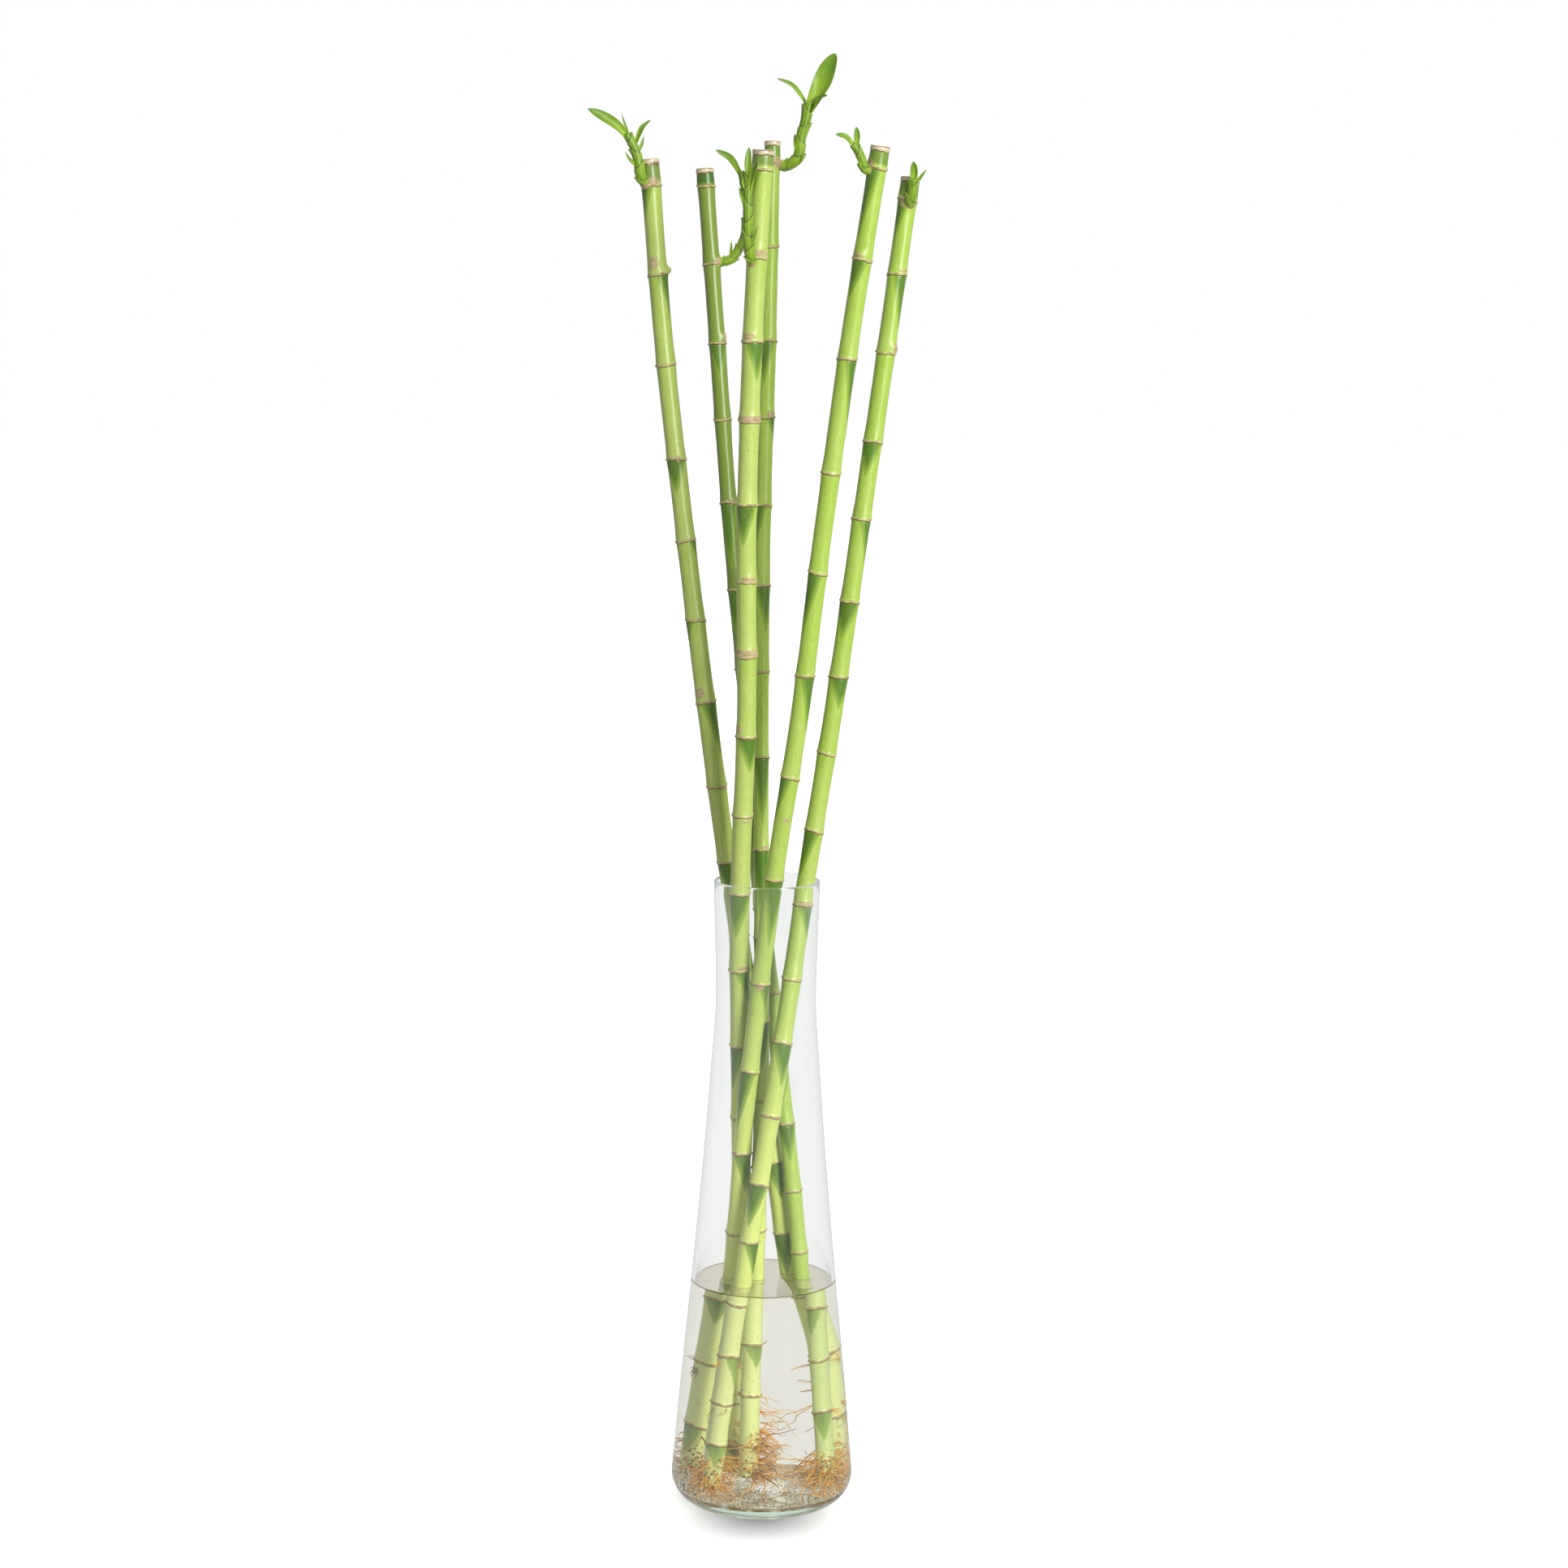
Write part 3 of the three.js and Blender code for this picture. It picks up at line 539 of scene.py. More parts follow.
def leaf_material(settings):
    # Leaf and sheath: a smooth, half-gloss skin with fine parallel veins, paler along edge and mouth.
    # Painted shade darkens the stem just above the mouth of each sheath.
    material, tree = new_tree("leaf_blade")
    across = node(tree, "ShaderNodeAttribute", output="Fac", attribute_name="across")
    turns = node(tree, "ShaderNodeMath", {0: across, 1: VEIN_TURNS}, operation="MULTIPLY")
    veins = node(tree, "ShaderNodeMath", {0: turns}, operation="SINE")
    off = node(tree, "ShaderNodeMath", {0: across}, operation="ABSOLUTE")
    tone = blended(tree, "along", grain(tree, (4, 4, 4)), 0.5)
    colour = layers(tree, settings.leaf_base, [
        (settings.leaf_green, tone, 0.3, 1.2),
        (settings.leaf_vein, veins, -0.4, 1.0, 0.16),
        (settings.leaf_edge, off, 0.86, 1.0, 0.5),
        (settings.leaf_edge, blended(tree, "mouth", tone, 0.05), 0.35, 0.8, 0.8),
        # Painted shade on the stem just above the mouth of each sheath
        (settings.leaf_painted_shade, blended(tree, "under", tone, 0.05), 0.3, 0.9, 0.6),
        (settings.leaf_collar, blended(tree, "collar", tone, 0.1), 0.2, 0.8),
    ])
    bump = node(tree, "ShaderNodeBump", {"Height": veins, "Distance": 0.03 * MM, "Strength": 0.25})
    return finish(material, {
        "Base Color": colour, "Roughness": 0.42, "Normal": bump, "IOR": 1.42, "Coat Weight": 0.08,
        "Coat Roughness": 0.25,
    })


def grit_material(settings):
    # Sediment: crumbs of old sheath and grit, from pale sand to dark brown.
    material, tree = new_tree("sediment_crumbs")
    tone = node(tree, "ShaderNodeAttribute", output="Fac", attribute_name="tone")
    colour = layer(tree, settings.grit_dark, settings.grit_mid, tone, 0.0, 0.6)
    colour = layer(tree, colour, settings.grit_pale, tone, 0.7, 0.95)
    return finish(material, {"Base Color": colour, "Roughness": 0.75})


def colour_property(name, description, hex_colour):
    """A colour among the settings, from its sRGB hex value."""
    return FloatVectorProperty(
        name=name, description=description, subtype="COLOR", default=linear(hex_colour),
    )


class BAMBOO_PG_vase(bpy.types.PropertyGroup):
    """Glass vase and water"""
    glass_ior: FloatProperty(name="Glass IOR", description="Index of refraction of the glass", default=1.42)
    glass_tint: colour_property("Glass tint", "Colour that light takes on inside the glass", "#a9dcc3")
    glass_density: FloatProperty(
        name="Glass density", description="How fast the glass takes light away, per metre", default=8.0,
    )
    mirror_tint: FloatVectorProperty(
        name="Mirror tint", description="How much of the room glass and water mirror head on",
        subtype="COLOR", default=(1.0, 1.0, 1.0),
    )
    water_ior: FloatProperty(name="Water IOR", description="Index of refraction of water", default=1.333)
    water_cast: colour_property("Water cast", "Faint grey of standing water", "#f3f0e8")
    water_film: colour_property("Water film", "Brown film on the water", "#c4b9a4")
    # Water line: partly a painted dark reflection of the meniscus where the water meets the wall
    water_line_and_reflection: colour_property("Water line", "Film where the water meets the wall", "#7a6a50")
    silt: colour_property("Silt", "Silt on the floor of the vase", "#876a38")
    overlap: FloatProperty(
        name="Overlap", description="How far the water reaches into the wall, so that no air gap shows",
        default=0.12 * MM, min=0.0, unit="LENGTH",
    )
    meniscus: FloatProperty(
        name="Meniscus", description="Height to which the water climbs at the wall", default=0.55 * MM,
        unit="LENGTH",
    )
    turn_steps: IntProperty(name="Steps", description="Sides of the turned glass", default=144, min=24)


class BAMBOO_PG_canes(bpy.types.PropertyGroup):
    """Canes and their skin"""
    sides: IntProperty(name="Sides", description="Sides of a cane", default=44, min=12)
    lip: FloatProperty(
        name="Lip", description="How far a node ring stands out", default=0.75 * MM, unit="LENGTH",
    )
    skin_light: colour_property("Light skin", "Yellow-green of an internode", "#b5c468")
    skin_green: colour_property("Green skin", "Greener parts of an internode", "#98b93c")
    skin_fibre: colour_property("Fibre", "Fine lengthwise streaks", "#d6e78f")
    skin_pale: colour_property("Pale skin", "Yellow skin of canes that stand in the vase", "#d9e47c")
    skin_dull: colour_property("Dull skin", "Olive of a cane that grew in the shade", "#6f8430")
    # Paler skin under water: partly painted light, making up for light that water and glass hold back
    skin_wet_brightened: colour_property("Wet skin", "Pale skin that stands in the water", "#eef2bc")
    skin_dust: colour_property("Dust", "Pale dry specks on the skin", "#a9b684")
    skin_mid: colour_property("Patch edge", "Patch below a node ring, at its edge", "#7c9f2a")
    skin_dark: colour_property("Dark patch", "Patch below a node ring, at its middle", "#4c7416")
    skin_stub: colour_property("Stub", "Skin above the top node", "#3a6412")
    lip_light: colour_property("Dry lip", "Cream of a dry node ring", "#c2ae84")
    lip_dark: colour_property("Dry lip, dark", "Tan of a dry node ring", "#8a7248")
    # Also the colour of the line under each lip, which is partly painted shadow, and of pits and the burr
    # at the cut
    lip_line_and_shade: colour_property("Lip line", "Thin brown line below a node ring", "#6b4f30")
    lip_wet: colour_property("Wet lip", "Brown of a node ring under water", "#b2955f")
    root_spot: colour_property("Root spots", "Brown spots at the foot, where roots begin", "#8a5c24")
    scar_light: colour_property("Scar", "Pale scales of a scar", "#bda682")
    scar_dark: colour_property("Scar, dark", "Brown between the scales", "#8f6f4c")
    cut_light: colour_property("Pith", "Dried cut end", "#d3c4a6")
    cut_dark: colour_property("Pith dots", "Fibre bundles in the cut end", "#8c7252")


class BAMBOO_PG_roots(bpy.types.PropertyGroup):
    """Roots and sediment"""
    thick: FloatProperty(
        name="Thickness", description="Radius of a root at the cane", default=0.42 * MM, unit="LENGTH",
    )
    root_dark: colour_property("Root base", "Root where it leaves the cane", "#ad7420")
    root_mid: colour_property("Root", "Orange of a water root", "#e2a22e")
    root_pale: colour_property("Root tip", "Pale end of a root", "#ecc070")
    root_brown: colour_property("Old root", "Brown of a root that has died back", "#8f6a38")
    crumbs: IntProperty(name="Crumbs", description="Crumbs of sediment", default=6500, min=0)
    grit_dark: colour_property("Dark grit", "Darkest crumbs", "#5f4524")
    grit_mid: colour_property("Grit", "Usual crumbs", "#9b7d4c")
    grit_pale: colour_property("Pale grit", "Palest crumbs", "#e6dcc4")


class BAMBOO_PG_shoots(bpy.types.PropertyGroup):
    """Shoots and leaves"""
    thickness: FloatProperty(
        name="Thickness", description="Thickness of a leaf", default=0.4 * MM, unit="LENGTH",
    )
    leaf_base: colour_property("Leaf base", "Leaf near the stem", "#9dbb2f")
    leaf_green: colour_property("Leaf", "Green of a leaf", "#5a8412")
    leaf_vein: colour_property("Vein", "Veins of a leaf", "#aac848")
    # Painted shade: the stem is darker just above the mouth of each sheath
    leaf_painted_shade: colour_property("Shaded stem", "Stem just above the mouth of a sheath", "#466a1c")
    leaf_collar: colour_property("Collar", "Dry collar where a shoot leaves its cane", "#a88f6a")
    leaf_edge: colour_property("Edge", "Edge of a leaf", "#9aa35c")


class BAMBOO_PG_stage(bpy.types.PropertyGroup):
    """Camera, floor and light"""
    lens: FloatProperty(
        name="Lens", description="Focal length of the camera, in mm", default=78.26,
    )
    camera_place: FloatVectorProperty(
        name="Camera", description="Place of the camera", subtype="TRANSLATION", unit="LENGTH",
        default=(0.01003, -2.1, 0.7443),
    )
    camera_down: FloatProperty(
        name="Look down", description="How far the camera looks below the horizon", subtype="ANGLE",
        default=0.1344,
    )
    camera_roll: FloatProperty(
        name="Roll", description="Turn of the camera about its own axis", subtype="ANGLE", default=0.0097,
    )
    world_strength: FloatProperty(name="Sky", description="Strength of the soft light", default=0.40)
    past_glass: FloatProperty(
        name="Past glass", description="Brightness of the white studio as seen through the glass",
        default=0.95,
    )
    mirrored: FloatProperty(
        name="Mirrored", description="Brightness of the white studio as glossy surfaces mirror it",
        default=0.6,
    )
    key_power: FloatProperty(name="Key", description="Power of the key light", unit="POWER", default=66.0)
    top_power: FloatProperty(
        name="Top", description="Power of the light above and behind", unit="POWER", default=10.0,
    )


# The hollow under the foot as radius and height in millimetres, and the low dome of the floor inside as
# share of the floor's radius and rise in millimetres
UNDERSIDE = [(0, 1.4), (14, 1.2), (28, 0.6), (34, 0.1)]
FLOOR_DOME = [(0.6, 0.15), (0.3, 0.4), (0, 0.5)]

# Rows of the vase's outline: up its side, round the heel, round the mouth and round the inner heel
SIDE_ROWS = 60
HEEL_ROWS = 16
MOUTH_ROWS = 10
INNER_HEEL_ROWS = 12


def side_line():
    """The outside of the vase from the widest ring to the mouth, as many points of radius and height."""
    heights = [height for _, height in OUTSIDE]
    at = np.linspace(heights[0], heights[-1], SIDE_ROWS)
    return [(radius, height) for radius, height in hermite(heights, OUTSIDE, at)]


def inside_radius(height):
    """Radius of the inside of the vase at a height."""
    line = np.array(side_line())
    radius = float(np.interp(height, line[:, 1], line[:, 0])) - WALL
    if height < INNER_CORNER:
        drop = min(INNER_CORNER - height, INNER_HEEL_ROUND)
        radius -= INNER_HEEL_ROUND - math.sqrt(INNER_HEEL_ROUND**2 - drop**2)
    return radius


# Radius of the floor inside the rounded inner heel, in millimetres
FLAT_RADIUS = inside_radius(INNER_CORNER) - INNER_HEEL_ROUND


def round_edge(centre, height, radius, start, end, steps):
    angles = [math.radians(start + (end - start) * i / steps) for i in range(steps + 1)]
    return [(centre + radius * math.cos(a), height + radius * math.sin(a)) for a in angles]


def scaled(points):
    return [(radius * MM, height * MM) for radius, height in points]


class BAMBOO_OT_vase(bpy.types.Operator):
    """Turns the glass vase, with a rounded heel, a thick floor and a fire-polished mouth"""
    bl_idname = "bamboo.add_vase"
    bl_label = "Add Vase"

    def execute(self, context):
        settings = context.scene.bamboo_vase
        line = side_line()
        inner = [(radius - WALL, height) for radius, height in line if height > INNER_CORNER]
        profile = UNDERSIDE + round_edge(FOOT_RADIUS, HEEL_ROUND, HEEL_ROUND, -90, 0, HEEL_ROWS)[:-1]
        profile += line[:-1]
        profile += round_edge(line[-1][0] - WALL / 2, line[-1][1], WALL / 2, 0, 180, MOUTH_ROWS)
        profile += inner[-2::-1]
        profile += round_edge(FLAT_RADIUS, INNER_CORNER, INNER_HEEL_ROUND, 0, -90, INNER_HEEL_ROWS)
        profile += [(FLAT_RADIUS * share, FLOOR + rise) for share, rise in FLOOR_DOME]
        mesh = mesh_of(turned(scaled(profile), settings.turn_steps), "vase_glass")
        add_piece("vase_glass", mesh, [glass_material(settings)], "vase")
        return {"FINISHED"}


# Edges of the water's surface, in millimetres: width of the rise at the wall, height and width of the rise
# at a cane and how far inside the cane it begins, and how far down the wall the brown line reaches, which
# is film and partly painted reflection
RISE_WIDTH = 1.1
CANE_RISE = 0.6
CANE_RISE_WIDTH = 1.3
CANE_RISE_INSIDE = 2.5
LINE_DROP = 0.35

# Rows of the surface from the wall inwards: how many at most, how far in the first one is in millimetres,
# and the power by which they move apart
MOST_ROWS = 60
FIRST_ROW = 0.06
ROW_POWER = 1.65

# Height of the silt above the floor, in millimetres
SILT_HEIGHT = 3.0


class BAMBOO_OT_water(bpy.types.Operator):
    """Fills the vase with water that climbs a little at the wall and at each cane"""
    bl_idname = "bamboo.add_water"
    bl_label = "Add Water"

    def execute(self, context):
        settings = context.scene.bamboo_vase
        grow = settings.overlap / MM
        climb = settings.meniscus / MM
        rim = inside_radius(WATER_LEVEL)
        profile = [(FLAT_RADIUS * share, FLOOR + rise - grow) for share, rise in reversed(FLOOR_DOME)]
        profile += round_edge(FLAT_RADIUS, INNER_CORNER, INNER_HEEL_ROUND + grow, -90, 0, INNER_HEEL_ROWS)
        profile += [(r - WALL + grow, h) for r, h in side_line() if INNER_CORNER < h < WATER_LEVEL - 1]
        profile += [(rim + grow, WATER_LEVEL - drop) for drop in (LINE_DROP + 0.1, LINE_DROP, -climb)]
        rows = [FIRST_ROW * step ** ROW_POWER for step in range(1, MOST_ROWS)]
        profile += [
            (rim - away, WATER_LEVEL + climb * math.exp(-away / RISE_WIDTH)) for away in rows if away <= rim
        ]
        profile.append((0, WATER_LEVEL))
        mesh = mesh_of(turned(scaled(profile), settings.turn_steps), "water")
        places = coordinates(mesh) / MM
        top = np.where(places[:, 2] > WATER_LEVEL - 0.5)[0]
        for cane in CANES:
            middle = cane_place(cane, WATER_LEVEL)[0]
            away = np.linalg.norm(places[top, :2] - middle[:2], axis=1) - cane["radius"]
            rise = CANE_RISE * np.exp(-np.clip(away, 0, None) / CANE_RISE_WIDTH)
            places[top, 2] += rise * (away > -CANE_RISE_INSIDE)
        move_to(mesh, places * MM)
        at_wall = np.hypot(places[:, 0], places[:, 1]) > rim + grow / 2
        # At the wall the film field is 1: a brown line, partly a painted dark reflection of the meniscus
        film = np.where(at_wall, 1.0, 0.5) * (places[:, 2] > WATER_LEVEL - LINE_DROP - 0.05)
        add_fields(mesh, film=film, silt=places[:, 2] < FLOOR + SILT_HEIGHT)
        add_piece("water", mesh, [water_material(settings)], "water")
        return {"FINISHED"}


# Share of its radius by which a bubble's middle stands above the water's level
BUBBLE_LIFT = 0.3

# Bubbles at the water's surface: place (x, y) and radius, in millimetres
BUBBLES = [
    (14, -44, 0.55), (13, -44.6, 0.4), (-18, -26, 0.4), (-15, -27, 0.5), (-8, -9, 0.5), (-4, -8, 0.4),
    (29, -5, 0.5), (31, 0, 0.4), (-36, -8, 0.4), (2, -44.5, 0.4), (20, -8, 0.5), (-27, -3, 0.5),
]


class BAMBOO_OT_bubbles(bpy.types.Operator):
    """Sets small bubbles at the water's surface, by the wall and the canes"""
    bl_idname = "bamboo.add_bubbles"
    bl_label = "Add Bubbles"

    def execute(self, context):
        bm = bmesh.new()
        for across, deep, radius in BUBBLES:
            place = Matrix.Translation(Vector((across, deep, WATER_LEVEL + radius * BUBBLE_LIFT)) * MM)
            bmesh.ops.create_icosphere(bm, subdivisions=3, radius=radius * MM, matrix=place)
        mesh = mesh_of(bm, "bubbles")
        add_piece("bubbles", mesh, [water_material(context.scene.bamboo_vase)])
        return {"FINISHED"}


def angle_away(angles, middle):
    """How far each angle is from the middle, from 0 to pi."""
    return np.abs((angles - middle + math.pi) % (2 * math.pi) - math.pi)


# The outline of a node: height above the ring in millimetres, and how much of the lip stands out there
NODE_RELIEF = [
    (-8, 0.04), (-5.5, 0.1), (-3.5, 0.18), (-2.2, 0.26), (-1.4, 0.28), (-1.0, 0.18), (-0.75, 0.16),
    (-0.55, 0.62), (-0.25, 1.0), (0.2, 1.05), (0.6, 0.9), (0.95, 0.62), (1.4, 0.42), (2.2, 0.4),
    (3.2, 0.36), (4.5, 0.28), (6, 0.18), (7.5, 0.1), (9, 0.06),
]

# The top of a cane, in millimetres: its rim as (how far past the radius, how far below the cut), and the
# cut face as (share of the radius, how far below the cut)
CUT_RIM = [(0, 3.2), (0.1, 2.7), (0.32, 2.3), (0.35, 1.5), (0.2, 0.8), (0.22, 0.4), (-0.1, 0.05), (-0.5, 0)]
CUT_FACE = [(0.75, 0.3), (0.4, 0.15), (0, 0.15)]

# Rows of a cane's skin, in millimetres: the longest, the shortest, and how far below the cut the last is
LONG_ROW = 2.2
SHORT_ROW = 0.1
LAST_ROW = 3


def ring_heights(cane):
    return sorted(ring[0] for ring in cane["rings"])


def cane_profile(cane, lip):
    """Radius and height of a cane's skin, from the axis below to the axis above, in millimetres."""
    radius, bottom, top = cane["radius"], cane["bottom"], cane["top"]
    profile = [(0, bottom), (radius * 0.9, bottom), (radius, bottom + 0.6), (radius, bottom + 1)]
    for ring in ring_heights(cane):
        last = profile[-1][1]
        low = ring + NODE_RELIEF[0][0]
        steps = max(int((low - last) / LONG_ROW), 0)
        profile += [(radius, last + (low - last) * step / (steps + 1)) for step in range(1, steps + 1)]
        for above, share in NODE_RELIEF:
            if profile[-1][1] + SHORT_ROW < ring + above < top - LAST_ROW:
                profile.append((radius + lip * share, ring + above))
    profile += [(radius + out, top - below) for out, below in CUT_RIM]
    return profile + [(radius * share, top - below) for share, below in CUT_FACE]


def faded(away, reach=1.5, strength=0.7):
    """The strength of a mark at distances counted in its half widths, falling to 0 at its reach."""
    return np.clip(reach - away, 0, 1) * strength


def scar_field(cane, index, height, angle):
    """How deep in a dry scar each corner of a cane lies, falling to 0 at the scar's edge."""
    found = np.zeros(len(height))
    for number, middle, side, half_width, half_height in SCARS:
        if number != index + 1:
            continue
        off = np.zeros(len(height))
        if half_width < BAND_FROM * cane["radius"]:
            off = angle_away(angle, math.radians(side)) * cane["radius"] / half_width
        up = np.abs(height - middle) / half_height
        found = np.maximum(found, faded(np.hypot(off, up), strength=0.6))
    return found


# Width and height over which a bud falls off, in millimetres
BUD_WIDTH = 2.6
BUD_HEIGHT = 2.4


def bud_height(cane, index, height, angle):
    """How far the skin stands out at a cane's sleeping buds, in millimetres."""
    out = np.zeros(len(height))
    for number, middle, side, size in BUDS:
        if number == index + 1:
            off = angle_away(angle, math.radians(side)) * cane["radius"]
            out += size * np.exp(-(off / BUD_WIDTH) ** 2 - ((height - middle) / BUD_HEIGHT) ** 2)
    return out


# Seed of the first cane's chance marks
CANE_SEED = 100

# A node ring, in millimetres: how far a patch begins below it and its lip's middle lies above it, its tilt,
# its waves as (how many go round, height), the notches that go round it, the height over which it fades
# out, the depth of its notches and the height over which they fade
LIP_MIDDLE = 0.3
RING_TILT = (0.2, 0.9)
RING_WAVES = [(3, 0.22), (7, 0.14)]
RING_NOTCHES = (5, 9)
RING_FADE = 4
NOTCH_DEPTH = 0.12
NOTCH_FADE = 0.9

# Half the width of a dark patch in degrees, how much its lower edge slants, and how strong it is in water
PATCH_HALF = (80, 100)
PATCH_SLANT = 0.12
PATCH_IN_WATER = 0.36

# How much thinner a cane is between its rings and how far from them, how much it is out of round, and how
# uneven its skin is
WAIST = 0.02
WAIST_FROM = 18
OVAL = 0.012
UNEVEN = 0.006

# How green a cane's skin is at the bottom, and the stretches of height, in millimetres, over which it
# turns greener upwards and by how much. Dull skin sets in over DULLING, and pale skin fades over PALING.
GREEN_BELOW = 0.55
GREENING = [(380, 560, 0.4), (700, 830, 0.4)]
DULLING = (300, 520)
PALING = (430, 120)


def cane_mesh(cane, settings, index):
    """A cane's mesh, with the fields that its skin's colours follow."""
    draw = random.Random(CANE_SEED + index)
    profile = cane_profile(cane, settings.lip / MM)
    mesh = mesh_of(turned(profile, settings.sides), f"cane_skin_{index + 1}")
    places = coordinates(mesh)
    angle = np.arctan2(places[:, 0], -places[:, 1])
    out = np.hypot(places[:, 0], places[:, 1])
    height = places[:, 2]
    rings = sorted(cane["rings"])
    heights = np.array(ring_heights(cane), float)
    above = np.searchsorted(heights - LIP_MIDDLE, height)
    upper = heights[np.clip(above, 0, len(rings) - 1)]
    lower = np.where(above > 0, heights[np.clip(above - 1, 0, len(rings) - 1)], cane["bottom"])
    depth = np.clip(upper - height, 0, None)
    patch = np.full(len(height), -1.0)
    tone, shift, rough, thick = np.zeros((4, len(height)))
    for i, (ring, side, length) in enumerate(rings):
        middle = math.radians(side)
        wide = math.radians(draw.uniform(*PATCH_HALF))
        here = above == i
        slant = 1 + PATCH_SLANT * np.sin(angle[here] - middle)
        patch[here] = 1 - depth[here] / (length * slant) - angle_away(angle[here], middle) / wide
        tone[here] = draw.uniform(-0.1, 0.12) + 0.3 * np.exp(-depth[here] / 22)
        tilt = draw.uniform(*RING_TILT) * np.cos(angle - middle - draw.uniform(-0.6, 0.6))
        wave = sum(size * np.cos(turns * angle + draw.uniform(0, 6)) for turns, size in RING_WAVES)
        notch = sum(np.cos(turns * angle + draw.uniform(0, 6)) for turns in RING_NOTCHES)
        close = np.exp(-(np.abs(height - ring) / RING_FADE) ** 2)
        shift += (tilt + wave) * close
        thick += 0.3 * notch * close
        rough += NOTCH_DEPTH * notch * np.exp(-((height - ring) / NOTCH_FADE) ** 2)
    scar = scar_field(cane, index, height, angle)
    nearest = np.min(np.abs(height[:, None] - heights[None, :] - LIP_MIDDLE), axis=1)
    inner = (height > cane["bottom"] + 0.3) & (height < cane["top"] - 0.3)
    out *= 1 - WAIST * np.clip(np.minimum(depth, height - lower) / WAIST_FROM, 0, 1)
    out *= 1 + OVAL * np.sin(2 * angle + height / 90 + index) + UNEVEN * np.sin(height / 7 + 3 * angle)
    scales = np.sin(height * 5.1 + 7 * angle) * np.sin(height * 2.3 - 5 * angle)
    out += (rough + scar * (0.5 + 0.35 * scales) + bud_height(cane, index, height, angle)) * inner
    shift[~inner] = 0
    shifted = np.clip(height + shift, cane["bottom"], cane["top"])
    ahead = unit(cane_place(cane, shifted + 1) - cane_place(cane, shifted - 1))
    move_to(mesh, wrapped(cane_place(cane, shifted), ahead, out, angle) * MM)
    dry = smooth_step(WATER_LEVEL - 3, WATER_LEVEL + 1, height)
    young = sum((share * smooth_step(low, high, height) for low, high, share in GREENING), GREEN_BELOW)
    ragged = height + 0.28 * np.cos(3 * angle + index) + 0.2 * np.cos(7 * angle)
    stub = smooth_step(heights[-1] + 1, heights[-1] + 3, height)
    rims = np.minimum(np.abs(height - cane["top"]) * 0.55, np.abs(ragged - cane["top"] + 3.1))
    add_fields(
        mesh, patch=np.clip(patch, -1, 1) * (PATCH_IN_WATER + (1 - PATCH_IN_WATER) * dry),
        tone=tone + cane["green"] * young,
        dull=cane["dull"] * smooth_step(*DULLING, height),
        pale=smooth_step(*PALING, height) * (1 - cane["dull"]),
        lip=faded(nearest / (0.95 + 0.9 * thick), reach=1.3),
        # The line just under each lip, partly painted shadow of the lip
        groove=faded(np.abs(depth - 0.85) / 0.4),
        wet=1 - dry,
        stub=(0.62 + 0.35 * cane["dull"]) * stub,
        scar=scar,
        crown=smooth_step(cane["top"] - 3.2, cane["top"] - 2.4, ragged),
        burr=faded(rims / 0.45),
        foot=smooth_step(cane["bottom"] + 24, cane["bottom"] + 8, height),
    )
    return mesh


# The cut face of a cane: how far below the cut it reaches, in millimetres, and how level it is at least
CUT_REACH = 0.5
LEVEL = 0.5


class BAMBOO_OT_canes(bpy.types.Operator):
    """Grows the six canes with their node rings, dark patches, scars and cut ends"""
    bl_idname = "bamboo.add_canes"
    bl_label = "Add Canes"

    def execute(self, context):
        settings = context.scene.bamboo_canes
        skin, pith = cane_material(settings), cut_material(settings)
        for index, cane in enumerate(CANES):
            mesh = cane_mesh(cane, settings, index)
            piece = add_piece(
                f"cane_skin_{index + 1}", mesh, [skin, pith], f"cane_{index + 1}",
            )
            for face in piece.data.polygons:
                if face.center.z > (cane["top"] - CUT_REACH) * MM and abs(face.normal.z) > LEVEL:
                    face.material_index = 1
        return {"FINISHED"}


# The tuft of each cane: how many roots, the stretch above its cut that bears them, how far they reach,
# the way that they face, with how far they spread round it in degrees, and the steepest fall
TUFTS = [
    (60, 1, 34, 8, 22, 70, 140, 0.9), (120, 0, 22, 12, 30, -20, 180, 0.9), (60, 1, 36, 8, 24, 75, 100, 0.3),
    (105, 0, 30, 10, 30, 85, 80, 0.2), (50, 0, 24, 8, 18, -60, 150, 0.9), (160, 0, 20, 6, 18, 0, 180, 0.9),
]

# Roots that grow from higher up a cane: cane, height, the way they face in degrees, reach, fall for
# each millimetre of reach, how many, and how brown they are
HIGH_ROOTS = [
    (2, 90, -92, 16, 0.12, 2, 0.3), (2, 79, -100, 36, 0.3, 1, 0.4), (2, 74, -95, 32, 0.38, 1, 0.3),
    (2, 66, -90, 28, 0.5, 2, 0.1), (2, 92, 95, 10, -0.1, 3, 0.2), (2, 60, 90, 12, 0.3, 4, 0.0),
    (1, 131, 60, 8, -0.3, 2, 0.6), (1, 90, 80, 10, 0.2, 4, 0.1), (1, 60, 80, 14, 0.4, 6, 0.0),
    (5, 86, -75, 8, 1.2, 9, 1.0), (5, 90, -110, 9, -0.35, 2, 0.9), (5, 88, 60, 8, 0.9, 4, 0.3),
    (6, 97, 80, 7, 0.9, 5, 0.5), (6, 99, -60, 8, 1.1, 4, 0.2), (6, 68, -40, 16, 0.7, 1, 0.8),
    (6, 68, 30, 18, 0.75, 1, 0.5), (4, 70, 95, 14, 0.5, 3, 0.1), (4, 72, -60, 6, -0.6, 2, 0.9),
    (4, 50, 95, 26, 0.3, 6, 0.0), (4, 104, 100, 9, 0.0, 1, 0.9), (4, 62, 90, 30, 0.25, 3, 0.2),
    (3, 62, 80, 26, 0.35, 4, 0.2), (6, 74, 70, 12, -0.8, 1, 1.0),
]


# Seed of the first cane's roots
ROOT_SEED = 300

